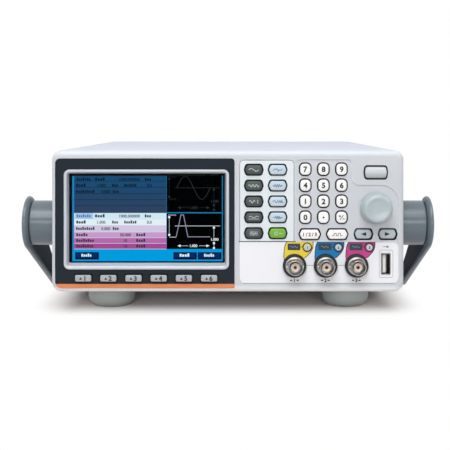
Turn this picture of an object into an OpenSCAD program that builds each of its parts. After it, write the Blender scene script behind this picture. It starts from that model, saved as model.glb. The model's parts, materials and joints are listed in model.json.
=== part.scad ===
// Bench function generator: a half-rack plastic case with a colour display, a keypad,
// a dial, three output sockets and a carry handle that folds under the case.
// Millimetres. +X is to the right of the front panel, +Y to the back, +Z up.
// The origin is the centre of the footprint on the table.

/* [Case] */
// Height of the case without its feet
case_h = 88.5; // [79:0.5:100]
// Depth of the case from the front face to the back edge
case_d = 268; // [240:1:320]
// Corner radius of the case
corner_r = 6; // [4.5:0.5:8]
// Wall of the two case shells
shell_t = 2.5; // [2:0.1:3.5]
// Height of the joint between the shells and of the handle axis, above the case bottom
split_h = 40.5; // [36:0.5:46]
// How far the rear panel lies inside the back edge
rear_inset = 3; // [1:0.5:6]
// Thickness of the rear panel
rear_t = 2; // [1.5:0.1:3]
// Height of the feet
foot_h = 16; // [15:0.5:24]
// Radius of a foot at its top
foot_r = 16.2; // [12:0.1:18]
// Sideways place of the feet
foot_x = 78; // [60:1:85]
// Distance from the front face to the front feet, and from the back edge to the rear feet
foot_inset = 45; // [40:1:52]

/* [Front frame] */
// Depth of the front frame
frame_d = 12; // [10.5:0.5:13]
// Front wall of the frame
frame_wall = 3.2; // [2.8:0.1:4]
// Side wall of the frame
frame_side = 3; // [2.5:0.1:3]
// Radius of the front edge of the frame
edge_r = 3.2; // [1.5:0.1:4]

/* [Display] */
// Width of the dark display panel to the left of the display surround
panel_left = 5.4; // [5:0.1:8]
// Width of the dark display panel to the right of the display surround
panel_right = 3.3; // [3:0.1:6]
// Gap from the top of the case to the display panel
panel_top = 5.1; // [4:0.1:7]
// Gap from the left edge of the case to the display panel
panel_rim = 2.5; // [2:0.1:4]
// Height of the bottom of the display panel above the case bottom
panel_low = 2.6; // [2:0.1:4]
// Depth of the seat of the display panel in the frame
panel_seat = 2; // [1.5:0.1:2.4]
// How far the display panel stands proud of the frame
panel_proud = 0.3; // [0:0.1:1]
// Height of the accent strip
strip_h = 2.6; // [1.5:0.1:3.5]
// Width of the display surround
surround_w = 103.2; // [98:0.1:120]
// Height of the bottom of the surround above the case bottom
surround_base = 14.2; // [14:0.1:17]
// Gap from the top of the case to the surround
surround_top = 11.9; // [11:0.1:15]
// Width of the picture area of the display
screen_w = 95; // [80:0.5:95]
// Height of the picture area of the display
screen_h = 53.9; // [46:0.1:54]
// How far the display module reaches past the display window at each side
lcd_lap_w = 2.65; // [2:0.05:3.2]
// How far the display module reaches past the display window at the top and the bottom
lcd_lap_h = 3.9; // [2:0.1:4]
// Thickness of the display module
lcd_t = 3; // [2:0.1:5]
// Thickness of the display window
lens_t = 1.2; // [0.8:0.1:2]

/* [Keys] */
// Width of the control side of the front
ctrl_w = 99.4; // [98:0.1:115]
// How far the keys stand out of the panel
key_out = 1.8; // [1:0.1:3]
// How far the arrow keys lie below the surface
arrow_sink = 0.3; // [0:0.1:0.8]
// Travel of the keys
key_travel = 0.8; // [0.4:0.1:1.2]
// Gap around the keys in their openings
key_gap = 0.6; // [0.3:0.05:0.7]
// Rim of the flange that keeps a key in its opening
key_rim = 0.55; // [0.3:0.05:0.6]
// Width of a menu key
soft_w = 10.1; // [8:0.1:12]
// Height of a menu key
soft_h = 4; // [3:0.1:5]
// Width of the display surround that the row of menu keys leaves free
soft_margin = 9; // [4:0.1:14]
// Width of a function key
func_w = 10.9; // [8:0.1:11.5]
// Height of the function, wide and arrow keys
func_h = 5.8; // [4:0.1:6.4]
// Width of a number key
digit_w = 6.3; // [4:0.1:7]
// Gap between the rows of number keys
digit_gap = 3.1; // [3:0.1:5]
// Width of the two wide keys
wide_w = 13; // [10:0.1:13.6]
// Width of the power button
power_w = 13.7; // [10:0.1:16]
// Height of the power button
power_h = 7.3; // [5:0.1:9]
// Travel of the power button
power_travel = 1.2; // [0.6:0.1:1.5]
// Radius of a round output key
output_r = 1.9; // [1.5:0.1:2.6]

/* [Dial] */
// Radius of the dial at its skirt
knob_r = 9.8; // [7:0.1:10.5]
// How much narrower the dial is at its face
knob_taper = 1; // [0.4:0.1:2.5]
// Length of the dial
knob_l = 10.5; // [10:0.1:20]
// Radius of the encoder shaft
shaft_r = 3; // [2:0.1:3.5]

/* [Sockets] */
// Spacing of the output sockets
bnc_pitch = 19.35; // [17:0.05:20]
// How far a socket stands out of its panel
bnc_out = 12.5; // [11:0.1:14]
// Outer radius of a socket barrel
bnc_r = 4.8; // [4.6:0.05:5]
// Width of the data socket opening
usb_w = 5.1; // [4.6:0.1:5.4]
// Height of the data socket opening
usb_h = 12.5; // [12:0.1:13]

/* [Handle] */
// Distance from the front face to the handle axis
pivot_d = 29; // [28.5:0.5:34]
// Radius of a handle hub
hub_r = 14.5; // [12:0.1:15]
// How far a hub stands out of the side of the case
hub_l = 17.2; // [14:0.1:24]
// Radius of the pivot pin on a hub
pin_r = 5; // [3:0.1:7]
// Thickness of a handle arm
arm_t = 4.8; // [4.4:0.1:7]
// Radius of the head of an arm
head_r = 17.4; // [15.5:0.1:19]
// Distance from the handle axis to the middle of the grip
arm_l = 85; // [82:0.5:110]
// Radius of the grip
grip_r = 5.5; // [4:0.1:6.5]
// Gap between the folded grip and the case
grip_gap = 0.6; // [0.4:0.1:2]

/* [Cooling] */
// Width of the fan
fan_w = 60; // [50:1:60]
// Depth of the fan
fan_d = 15; // [12:0.5:20]
// Slots in a row of side vents
vent_slots = 14; // [6:1:18]

/* [Hidden] */
$fn = 64;
eps = 0.01;                    // overlap that keeps cuts clean
fit = 0.15;                    // gap between fixed pieces that slot together
run = 0.05;                    // radial gap of turning fits
arc_n = 8;                     // straight pieces in a rounded corner of an outline

// Levels along the height and the depth
z_case = foot_h;
z_axis = z_case + split_h;
knob_gap = 0.8;
knob_reach = knob_gap + knob_l;
front_reach = max(knob_reach, bnc_out);
rear_reach = bnc_out - rear_inset;
y_front = (front_reach - rear_reach - case_d) / 2;
y_back = y_front + case_d;
y_rear = y_back - rear_inset;  // outer face of the rear panel
y_inner = y_rear - rear_t;     // inner face of the rear panel
y_axis = y_front + pivot_d;

// Display panel and control side of the front, which set the width of the case
ctrl_gap = 3.2;                // between the display panel and the control side
ctrl_rim = 3.5;                // between the control side and the right edge of the case
panel_w = surround_w + panel_left + panel_right;
case_w = panel_rim + panel_w + ctrl_gap + ctrl_w + ctrl_rim;
side_x = case_w / 2;
panel_x0 = -side_x + panel_rim;
panel_x1 = panel_x0 + panel_w;
panel_z1 = case_h - panel_top;
panel_ledge = 4;
surround_x = panel_x1 - surround_w / 2 - panel_right;
surround_h = case_h - surround_base - surround_top;
surround_z = surround_base + surround_h / 2;
surround_rim = 1.5;            // width of the rim that lies on the display panel
surround_rise = 0.6;           // how far that rim stands out of the display panel
surround_back = 3.4;           // depth of the back of the surround
surround_slope = 1.5;          // how far the bevel runs in from the rim
surround_in_w = surround_w - 2 * surround_rim;
surround_in_h = surround_h - 2 * surround_rim;
panel_lip = 2.2;               // ledge under the accent strip
lcd_pad = 3.4;                 // width of the pads that carry the display module
glass_step = 0.15;             // step down to the picture area
lcd_w = surround_in_w + 2 * lcd_lap_w;
lcd_h = surround_in_h + 2 * lcd_lap_h;
lcd_x = (panel_x0 + panel_x1) / 2;
lcd_gap = 0.2;
lcd_front = surround_back + lens_t + lcd_gap;
soft_n = 6;
soft_z = 8.9;
soft_shift = 0.1;              // the row of menu keys lies left of the middle of the display
soft_pitch = (surround_w - soft_margin) / soft_n;
soft_x0 = surround_x - soft_shift - soft_pitch * (soft_n - 1) / 2;

// Overlay of the function keys and outputs, and the shallow recess of the keypad
ctrl_x0 = panel_x1 + ctrl_gap;
ctrl_x1 = ctrl_x0 + ctrl_w;
ctrl_top_rim = 5.9;
ctrl_top = case_h - ctrl_top_rim;
output_top = 31.2;
output_low = 5.3;
overlay_t = 0.6;
recess_t = 0.5;

// Function keys, from the left edge of the control side and between its top and the outputs
func_in = 8.9;
func_pitch_x = 14.9;
func_first = 6.1;              // from the top of the control side to the first row
func_last = 5.7;               // from the top of the outputs to the last row
func_rows = 5;
func_margin = 10.4;
func_x = [ctrl_x0 + func_in, ctrl_x0 + func_in + func_pitch_x];
func_pitch_z = (ctrl_top - func_first - output_top - func_last) / (func_rows - 1);
func_z = [for (i = [0:func_rows - 1]) ctrl_top - func_first - func_pitch_z * i];
func_x1 = func_x[1] + func_margin;

// Power button, dial and arrow keys, from the right edge of the control side
arrow_in = 6.8;
arrow_pitch = 15.1;
arrow_x = [ctrl_x1 - arrow_in - arrow_pitch, ctrl_x1 - arrow_in];
wide_up = 5;                   // from the top of the outputs to the row of wide and arrow keys
wide_z = output_top + wide_up;
power_in = 14.3;
power_x = ctrl_x1 - power_in;
power_low = 7.8;               // from the top of the control side to the power button
power_z = ctrl_top - power_low;
knob_in = 14.3;
knob_x = ctrl_x1 - knob_in;
knob_drop = 2.7;               // the dial lies below the middle between power button and arrow keys
knob_z = (power_z + wide_z) / 2 - knob_drop;

// Keypad in a recess between the function keys and the arrow keys
recess_gap = 1;
recess_side = 1.85;
recess_x0 = func_x1 + recess_gap;
recess_x1 = arrow_x[0] - func_w / 2 - recess_side;
recess_mid = (recess_x0 + recess_x1) / 2;
recess_step = 7.8;             // the recess is lower beside the power button
recess_z = power_z - recess_step;
digit_rows = 4;
digit_side = 1.1;
digit_shift = 0.3;
digit_first = 5.8;             // from the top of the control side to the first row
digit_last = 0.6;              // extra space between the last row and the wide keys
digit_pitch_x = (recess_x1 - recess_x0 - digit_side) / 3;
digit_pitch_z = (ctrl_top - digit_first - wide_z - digit_last) / digit_rows;
digit_h = digit_pitch_z - digit_gap;
digit_x = [for (i = [-1:1]) recess_mid - digit_shift + digit_pitch_x * i];
digit_z = [for (i = [0:digit_rows - 1]) ctrl_top - digit_first - digit_pitch_z * i];
wide_side = 0.8;
wide_shift = 0.25;
wide_pitch = (recess_x1 - recess_x0 - wide_side) / 2;
wide_x = [for (s = [-1, 1]) recess_mid - wide_shift + s * wide_pitch / 2];

// Output sockets and data socket, from the right edge of the control side
bnc_in = 26.4;
bnc_x = [for (i = [2:-1:0]) ctrl_x1 - bnc_in - bnc_pitch * i];
bnc_z = 16.7;
output_dx = 8;
output_z = 28.1;
usb_in = 8;
usb_x = ctrl_x1 - usb_in;
usb_z = 17.7;
bnc_bore = 4.05;
bnc_flange_r = 6.4;
bnc_flange_t = 2.2;
bnc_collar_r = 7.35;
bnc_collar_t = 3;
bnc_nut_r = 7;
bnc_nut_h = 2.5;
bnc_tail = 8;                  // thread behind the panel
bnc_floor = 3;
bnc_seat = bnc_floor + 0.02;
bnc_sunk = 4.5;                // insulator and contact lie this deep in the barrel
lug_r = 1;
lug_in = 5;                    // from the end of the barrel to the lugs
lug_out = 0.75;
insulator_r = 2.45;
contact_r = 1.1;
contact_bore = 0.68;

// Layers behind the front: key flange, rubber mat and circuit board
flange_gap = 0.15;
flange_t = 0.9;
mat_t = 1;
pcb_t = 1.6;
function mat_depth(wall, travel) = wall + flange_gap + flange_t + travel + flange_gap;
mat_y = mat_depth(frame_wall, power_travel);
board_y = mat_y + mat_t;
soft_mat_y = mat_depth(panel_seat, key_travel);
soft_board_y = soft_mat_y + mat_t;
post_r = 2.4;
key_pcb_low = 24.7;
pcb_rim = 0.6;
key_post_x = recess_x0 - 1.9;  // between the function keys and the number keys
key_post_top = ctrl_top - 1.2;
key_pcb_posts = [
    [ctrl_x0, ctrl_top - 2.6], [ctrl_x0, output_top + 0.8], [key_post_x, key_post_top],
    [recess_x1 + 1.5, key_post_top], [recess_x1 + 0.6, wide_z + 6.3], [key_post_x, wide_z + 5.8]
];
soft_post_x = [for (i = [0:2:soft_n - 2]) soft_x0 + soft_pitch * (i + 0.5)];
soft_post_r = soft_pitch / 2 - soft_w / 2 - key_gap - key_rim - fit;
encoder_w = 12.5;
encoder_t = 6.5;
encoder_floor = 1;
bush_t = 1.2;
board_screw_r = 1.1;
board_screw_l = 5;

// Rear panel layout
case_post_r = 4;
case_post_in = 10.5;
board_edge = side_x - case_post_in - case_post_r - 1.75;  // boards keep clear of the case posts
inlet_w = 27;
inlet_h = 20;
inlet_side = 10;               // from the edge of the power supply board to the middle of the inlet
inlet_x = board_edge - inlet_side;
inlet_z = 33;
fan_gap = 10.5;
fan_x = inlet_x - inlet_w / 2 - fan_gap - fan_w / 2;
fan_z = 44;
fan_bore = fan_w / 2 - 1.6;
fan_hole = fan_w / 2 - 5;
fan_screw_r = 1.5;
fan_shaft_r = 1.5;
fan_motor_r = 12;
rear_bnc_first = -28;
rear_bnc_pitch = 20;
rear_bnc_x = [for (i = [0:3]) rear_bnc_first - rear_bnc_pitch * i];
rear_bnc_z = 56;
inlet_t = 2.4;                 // thickness of the inlet flange
inlet_deep = 15;               // depth of the inlet socket
inlet_body_l = inlet_deep + rear_t + 2;
ledge_t = 2;                   // rib that carries the rear panel
slot_w = 2.2;
slot_pitch = 5;
slot_l = 22;
rear_screw_in = 8.5;
rear_screw = [side_x - rear_screw_in, case_h / 2 - rear_screw_in];

// Circuit boards inside
standoff_h = 8;
psu_w = 34;
psu_l = 107;
psu_x1 = board_edge;
psu_x0 = psu_x1 - psu_w;
board_gap = 6;
main_x0 = -board_edge;
main_x1 = psu_x0 - board_gap;
main_front = 34;               // from the front face to the main board
main_y0 = y_front + main_front;
main_y1 = y_inner - 0.5;
main_z = z_case + shell_t + standoff_h;
lan_x = -30;
usb_b_x = -52;
ribbon_w = 30;
ribbon_t = 0.6;
ribbon_l = main_y0 + 5 - y_front - board_y - pcb_t;
ribbon_z = z_case + key_pcb_low + 4;
psu_y1 = y_inner - 8 - inlet_deep;
psu_y0 = psu_y1 - psu_l;
lead_r = 1.2;
lead_pitch = 7;
lead_y = psu_y1 - 12;

// Parts on the boards: size and place from the corner of the board
can = [60, 70, 16];            // screening can
can_at = [14, 20];
chip = [28, 28, 2.2];          // processor
chip_at = [84, 30];
sink = [26.8, 50, 3];          // base of the heat sink
sink_at = [84, 70];
fin = [1.6, 50, 18];
fin_n = 7;
fin_pitch = 4.2;
coil = [24, 26, 24];           // transformer
coil_at = [5, 30];
plate = [3, 26, 26];           // heat sink of the power supply
plate_at = [22, 62];
big_cap_r = 8;
big_cap_h = 28;
big_cap_at = [11, 72];
cap_r = 5;
cap_h = 20;
cap_at = [10, 18];
cap_pitch = 14;
main_post_in = 6;
main_post_back = 36;
psu_post_in = 5;
main_posts = [for (x = [main_x0 + main_post_in, main_x1 - main_post_in],
    y = [main_y0 + main_post_in, main_y1 - main_post_back]) [x, y]];
psu_posts = [for (x = [psu_x0 + psu_post_in, psu_x1 - psu_post_in],
    y = [psu_y0 + psu_post_in, psu_y1 - psu_post_in]) [x, y]];

// Data sockets: shell, tongue and how far they reach in and out
usb_t = 0.35;
usb_deep = 14;
usb_out = 0.3;
tongue_w = 1.84;
tongue_h = 11.1;
port_out = 0.2;
lan_w = 16;
lan_h = 13.4;
lan_l = 21;
usb_b_w = 12;
usb_b_h = 10.8;
usb_b_l = 16;
port_z = main_z - z_case + pcb_t;

// Case screws, one at each corner, and the feet
case_post_front = 56;
case_post_back = 34;
case_posts = [for (x = [-1, 1], y = [y_front + case_post_front, y_back - case_post_back])
    [x * (side_x - case_post_in), y]];
case_screw_up = 28;
case_screw_z = z_case + case_screw_up;
case_screw_r = 1.5;
case_screw_l = 26;
case_head_r = 2.8;
rear_screw_r = 1.5;
rear_hole_l = 30;
foot_screw_r = 1.5;
foot_head_r = 2.9;
foot_boss = 5;
foot_web = 3;
feet_at = [for (x = [-foot_x, foot_x], y = [y_front + foot_inset, y_back - foot_inset]) [x, y]];

// Handle geometry
arm_x = side_x + hub_l + 0.2;  // inner face of an arm at its head
arm_in = 3;                    // how far the arms draw in towards the grip
arm_head_r = head_r - 1;       // where the arm grows out of its head
arm_end_r = grip_r + 0.4;
arm_share = (arm_head_r + hub_r) / (arm_head_r + arm_l - arm_end_r);
arm_lift = arm_in * arm_share / (1 - arm_share) + 0.1;  // keeps the slanting arm clear of the hub
pin_l = arm_t - 1.4;
spigot_r = 8;
grip_z = z_case - grip_gap - grip_r;
fold_angle = asin((z_axis - grip_z) / arm_l);

// Key table: name, x, height on the panel, width and height of the cap, tip of a pointed end (0 for a
// plain rectangle, -1 for a round key), corner radius, travel, surface it stands in, colour
digit_names = [
    ["key_7", "key_8", "key_9"], ["key_4", "key_5", "key_6"],
    ["key_1", "key_2", "key_3"], ["key_0", "key_point", "key_sign"]
];
func_names = [
    ["key_waveform", "key_frequency", "key_amplitude", "key_offset", "key_utility"],
    ["key_arb", "key_modulation", "key_sweep", "key_burst", "key_preset"]
];
soft_keys = [for (i = [0:soft_n - 1])
    [str("softkey_", i + 1), soft_x0 + soft_pitch * i, soft_z, soft_w, soft_h, 0, 0.6, key_travel,
        "panel", "silver"]];
func_keys = [for (c = [0:1], i = [0:func_rows - 1])
    [func_names[c][i], func_x[c], func_z[i], func_w, func_h, 1.1, 1.5, key_travel, "overlay",
        c == 0 ? "dimgray" : i == 4 ? "yellowgreen" : "lightsteelblue"]];
digit_keys = [for (r = [0:digit_rows - 1], c = [0:2])
    [digit_names[r][c], digit_x[c], digit_z[r], digit_w, digit_h, 0, 2.3, key_travel, "recess", "white"]];
wide_keys = [for (i = [0:1])
    [["key_channel", "key_pulse"][i], wide_x[i], wide_z, wide_w, func_h, 1.5, 1.2, key_travel,
        "recess", "white"]];
arrow_keys = [for (i = [0:1])
    [["key_left", "key_right"][i], arrow_x[i], wide_z, func_w, func_h, 1.1, 1.5, key_travel, "sunk",
        "darkgray"]];
power_keys = [
    ["power_button", power_x, power_z, power_w, power_h, 0.6, 1.6, power_travel, "wall", "gainsboro"]];
output_keys = [for (i = [0:2])
    [str("output_key_", i + 1), bnc_x[i] + output_dx, output_z, 2 * output_r, 2 * output_r, -1, 0,
        key_travel, "overlay", "silver"]];
wall_keys = concat(func_keys, digit_keys, wide_keys, arrow_keys, power_keys, output_keys);
keys = concat(soft_keys, wall_keys);

// Outline helpers: an outline is a list of [x, y, corner radius]
function unit(v) = v / norm(v);
function corner_arc(a, b, c, r) = r <= 0 ? [b] :
    let (
        u = unit(a - b),
        v = unit(c - b),
        half = acos(u * v) / 2,
        o = b + unit(u + v) * r / sin(half),
        s = b + u * r / tan(half) - o,
        e = b + v * r / tan(half) - o,
        from = atan2(s.y, s.x),
        raw = atan2(e.y, e.x) - from,
        turn = raw > 180 ? raw - 360 : raw < -180 ? raw + 360 : raw
    )
    [for (i = [0:arc_n]) o + r * [cos(from + turn * i / arc_n), sin(from + turn * i / arc_n)]];
function flat(p) = [p.x, p.y];
function rounded(p) = let (n = len(p)) [for (i = [0:n - 1])
    each corner_arc(flat(p[(i + n - 1) % n]), flat(p[i]), flat(p[(i + 1) % n]), p[i].z)];
function rect_at(x0, y0, x1, y1, r) = [[x0, y0, r], [x1, y0, r], [x1, y1, r], [x0, y1, r]];
function rect(w, h, r) = rect_at(-w / 2, -h / 2, w / 2, h / 2, r);
function lozenge(w, h, tip, r) = [
    [-w / 2, 0, r], [tip - w / 2, -h / 2, r], [w / 2 - tip, -h / 2, r],
    [w / 2, 0, r], [w / 2 - tip, h / 2, r], [tip - w / 2, h / 2, r]
];

function moved(outline, x, y) = [for (p = outline) p + [x, y, 0]];

// A prism over an outline, and a round peg at a point, each from z0 to z1
module slab(outline, z0, z1) {
    translate([0, 0, z0]) linear_extrude(z1 - z0) polygon(rounded(outline));
}

module peg(p, z0, z1, r) {
    translate([p.x, p.y, z0]) cylinder(r = r, h = z1 - z0);
}

// Places children on the front: x to the right, y up from the case bottom, z out towards the user
module on_front(x = 0, h = 0) {
    translate([x, y_front, z_case + h]) rotate([90, 0, 0]) children();
}

// Places children on the rear panel, seen from the front: z runs out of the back
module on_rear(x = 0, h = 0) {
    translate([x, y_rear, z_case + h]) mirror([0, 1, 0]) rotate([90, 0, 0]) children();
}

// A pan-head screw along z with its head above z = 0
module screw(length, r, head_r, head_h) {
    translate([0, 0, -length]) cylinder(r = r, h = length + eps);
    cylinder(r = head_r, h = head_h);
}

// Keys
module key_outline(k, grow) {
    if (k[5] < 0) circle(r = k[3] / 2 + grow);
    else if (k[5] > 0) polygon(rounded(lozenge(k[3] + 2 * grow, k[4] + 2 * grow, k[5], k[6] + grow / 2)));
    else polygon(rounded(rect(k[3] + 2 * grow, k[4] + 2 * grow, k[6] + grow)));
}

module key(k) {
    wall = k[8] == "panel" ? panel_seat : frame_wall;
    top = k[8] == "sunk" ? -recess_t - arrow_sink :
        key_out + (k[8] == "panel" ? panel_proud : k[8] == "recess" ? -recess_t : 0);
    color(k[9]) on_front(k[1], k[2]) {
        translate([0, 0, -wall - flange_gap - eps]) linear_extrude(wall + flange_gap + top + eps)
            key_outline(k, 0);
        translate([0, 0, -wall - flange_gap - flange_t]) linear_extrude(flange_t)
            key_outline(k, key_gap + key_rim);
    }
}

module key_holes(list, z0, z1) {
    for (k = list) translate([k[1], k[2], z0]) linear_extrude(z1 - z0) key_outline(k, key_gap);
}

// Front frame
module frame_block() {
    translate([0, case_h / 2, 0]) hull() {
        for (a = [0:22.5:90]) let (inset = edge_r * (1 - cos(a)), z = edge_r * (sin(a) - 1))
            slab(rect(case_w - 2 * inset, case_h - 2 * inset, corner_r - inset / 2), z - eps, z);
        slab(rect(case_w, case_h, corner_r), -frame_d, -frame_d + eps);
    }
}

function panel_outline(grow) = [
    [panel_x0 - grow, panel_low - grow, 4], [panel_x1 + grow, panel_low - grow, 1],
    [panel_x1 + grow, panel_z1 + grow, 2], [panel_x0 - grow, panel_z1 + grow, 3]
];

usb_hole = moved(rect(usb_w + 2 * usb_t + 2 * fit, usb_h + 2 * usb_t + 2 * fit, 0.4), usb_x, usb_z);

function overlay_outline(grow) = [
    [ctrl_x0 - grow, output_low - grow, 4], [ctrl_x1 + grow, output_low - grow, 4],
    [ctrl_x1 + grow, output_top + grow, 3], [func_x1 + grow, output_top + grow, 0],
    [func_x1 + grow, ctrl_top + grow, 2.5], [ctrl_x0 - grow, ctrl_top + grow, 2.5]
];

recess_outline = [
    [recess_x0, output_top + 0.6, 2.5], [ctrl_x1, output_top + 0.6, 2.5], [ctrl_x1, recess_z, 11],
    [recess_x1, recess_z, 4], [recess_x1, ctrl_top + 0.3, 2.5], [recess_x0, ctrl_top + 0.3, 2.5]
];

module front_frame() {
    color("gainsboro") on_front() difference() {
        union() {
            difference() {
                frame_block();
                slab(rect_at(frame_side - side_x, frame_side, side_x - frame_side, case_h - frame_side,
                    corner_r - frame_side), -frame_d - eps, -frame_wall);
            }
            for (p = key_pcb_posts) peg(p, -board_y, eps - frame_wall, post_r);
            for (s = [-1, 1], z = [-1, 1])
                slab(moved(rect(lcd_pad, 2 * lcd_pad, 0), lcd_x + s * (panel_w / 2 - panel_ledge / 2 + 0.2),
                    surround_z + z * lcd_h / 3), -lcd_front, eps - frame_wall);
        }
        slab(panel_outline(fit), -panel_seat, edge_r);
        slab(rect_at(panel_x0 + panel_ledge, panel_low + panel_lip, panel_x1 - panel_ledge,
            panel_z1 - panel_ledge, 1), -frame_wall - eps, 0);
        slab(overlay_outline(fit), -overlay_t, edge_r);
        slab(recess_outline, -recess_t, edge_r);
        key_holes(wall_keys, -frame_wall - eps, edge_r);
        for (x = bnc_x) peg([x, bnc_z], -frame_wall - eps, edge_r, bnc_r + fit);
        slab(usb_hole, -frame_wall - eps, edge_r);
        peg([knob_x, knob_z], -frame_wall - eps, edge_r, shaft_r + bush_t + fit);
        for (p = key_pcb_posts) peg(p, -board_y - eps, board_screw_l - board_y, board_screw_r + run);
    }
}

// Display side of the front
module display_panel() {
    color("darkslategray") on_front() {
        difference() {
            slab(panel_outline(0), -panel_seat, panel_proud);
            translate([panel_x0 - 1, panel_low - 1, -panel_seat - eps])
                cube([panel_w + 2, strip_h + 1 + fit, panel_seat + panel_proud + 2 * eps]);
            slab(moved(rect(surround_in_w + 2 * fit, surround_in_h + 2 * fit, 2.5), surround_x, surround_z),
                -panel_seat - eps, panel_proud + eps);
            key_holes(soft_keys, -panel_seat - eps, panel_proud + eps);
        }
        for (x = soft_post_x) peg([x, soft_z], -soft_board_y, eps - panel_seat, soft_post_r);
    }
}

module accent_strip() {
    color("coral") on_front() intersection() {
        slab(panel_outline(0), -panel_seat, panel_proud);
        translate([panel_x0 - 1, panel_low - 1, -panel_seat])
            cube([panel_w + 2, strip_h + 1, panel_seat + panel_proud]);
    }
}

module display_surround() {
    front = panel_proud + surround_rise;
    slope = 2 * surround_slope;
    color("silver") on_front(surround_x, surround_z) difference() {
        union() {
            slab(rect(surround_w, surround_h, 3.5), panel_proud, front);
            slab(rect(surround_in_w, surround_in_h, 2.5), -surround_back, panel_proud + eps);
        }
        hull() {
            slab(rect(surround_in_w, surround_in_h, 2), front, front + eps);
            slab(rect(surround_in_w - slope, surround_in_h - slope, 0.6),
                -surround_back - eps, -surround_back);
        }
    }
}

module display_lens() {
    color("lightcyan", 0.3) on_front(surround_x, surround_z)
        slab(rect(surround_in_w, surround_in_h, 1), -surround_back - lens_t, -surround_back);
}

module lcd_module() {
    color("black") on_front() difference() {
        slab(moved(rect(lcd_w, lcd_h, 0.5), lcd_x, surround_z), -lcd_front - lcd_t, -lcd_front);
        slab(moved(rect(screen_w, screen_h, 0), surround_x, surround_z),
            -lcd_front - glass_step, eps - lcd_front);
    }
}

// Control side of the front
module control_overlay() {
    color("white") on_front() difference() {
        slab(overlay_outline(0), -overlay_t, 0);
        key_holes(concat(func_keys, output_keys), -overlay_t - eps, eps);
        for (x = bnc_x) peg([x, bnc_z], -overlay_t - eps, eps, bnc_r + fit);
        slab(usb_hole, -overlay_t - eps, eps);
    }
}

key_pcb = rect_at(ctrl_x0 - post_r - pcb_rim, key_pcb_low, side_x - frame_side - pcb_rim,
    case_h - frame_side - pcb_rim, 1);
soft_pcb = rect_at(panel_x0 + 6, panel_low + 2.4, panel_x1 - 6, surround_z - lcd_h / 2 - 0.3, 0.5);

module keypad_mats() {
    color("#202124") on_front() {
        difference() {
            slab(key_pcb, -board_y, -mat_y);
            for (p = key_pcb_posts) peg(p, -board_y - eps, eps - mat_y, post_r + fit);
            peg([knob_x, knob_z], -board_y - eps, eps - mat_y, shaft_r + bush_t + fit);
        }
        difference() {
            slab(soft_pcb, -soft_board_y, -soft_mat_y);
            for (x = soft_post_x) peg([x, soft_z], -soft_board_y - eps, eps - soft_mat_y, soft_post_r + fit);
        }
    }
}

module key_boards() {
    back = board_y + pcb_t;
    color("seagreen") on_front() {
        difference() {
            union() {
                slab(key_pcb, -back, -board_y);
                slab(moved(rect(encoder_w, encoder_w, 0.5), knob_x, knob_z), -back - encoder_t, eps - back);
                peg([knob_x, knob_z], -back, -recess_t, shaft_r + bush_t);
            }
            for (p = key_pcb_posts) peg(p, -back - eps, eps - board_y, board_screw_r + fit);
            peg([knob_x, knob_z], -back - encoder_t + encoder_floor, eps, shaft_r + run);
        }
        slab(soft_pcb, -soft_board_y - pcb_t, -soft_board_y);
    }
}

// Dial on its encoder shaft
module knob() {
    seat = 9;                  // length of shaft inside the dial
    back = board_y + pcb_t + encoder_t - encoder_floor - 0.2;
    skirt = 2;
    bevel = 1;
    face_r = knob_r - knob_taper;
    color("gainsboro") on_front(knob_x, knob_z) {
        rotate_extrude() polygon([
            [shaft_r + run, knob_gap], [knob_r, knob_gap], [knob_r, knob_gap + skirt],
            [face_r, knob_reach - bevel], [face_r - bevel, knob_reach], [0, knob_reach],
            [0, knob_gap + seat + 0.3], [shaft_r + run, knob_gap + seat + 0.3]
        ]);
        peg([0, 0], -back, knob_gap + seat, shaft_r);
    }
}

// Bayonet socket on a panel of thickness wall: metal shell, insulating collar, insulator and contact
module bnc(wall) {
    tail = wall + bnc_tail;
    inner_l = bnc_out - bnc_seat - bnc_sunk;
    lug_z = (bnc_bore + bnc_r) / 2;
    color("silver") {
        rotate_extrude() polygon([
            [0, -tail], [bnc_r, -tail], [bnc_r, 0], [bnc_flange_r, 0], [bnc_flange_r, bnc_flange_t],
            [bnc_r, bnc_flange_t], [bnc_r, bnc_out], [bnc_bore, bnc_out], [bnc_bore, bnc_floor],
            [0, bnc_floor]
        ]);
        for (s = [-1, 1]) rotate([0, s * 90, 0]) translate([lug_in - bnc_out, 0, lug_z])
            cylinder(r = lug_r, h = bnc_r + lug_out - lug_z);
        translate([0, 0, -wall - bnc_nut_h]) cylinder(r = bnc_nut_r, h = bnc_nut_h, $fn = 6);
    }
    color("#202124") difference() {
        cylinder(r = bnc_collar_r, h = bnc_collar_t);
        translate([0, 0, -eps]) cylinder(r = bnc_flange_r + run, h = bnc_collar_t + 2 * eps);
    }
    color("white") translate([0, 0, bnc_seat]) difference() {
        cylinder(r = insulator_r, h = inner_l);
        translate([0, 0, -eps]) cylinder(r = contact_r + run, h = inner_l + 2 * eps);
    }
    color("gold") translate([0, 0, bnc_seat]) difference() {
        cylinder(r = contact_r, h = inner_l - 0.1);
        translate([0, 0, 1]) cylinder(r = contact_bore, h = inner_l);
    }
}

module bnc_sockets() {
    for (x = bnc_x) on_front(x, bnc_z) bnc(frame_wall);
    for (x = rear_bnc_x) on_rear(x, rear_bnc_z) bnc(rear_t);
}

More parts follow.
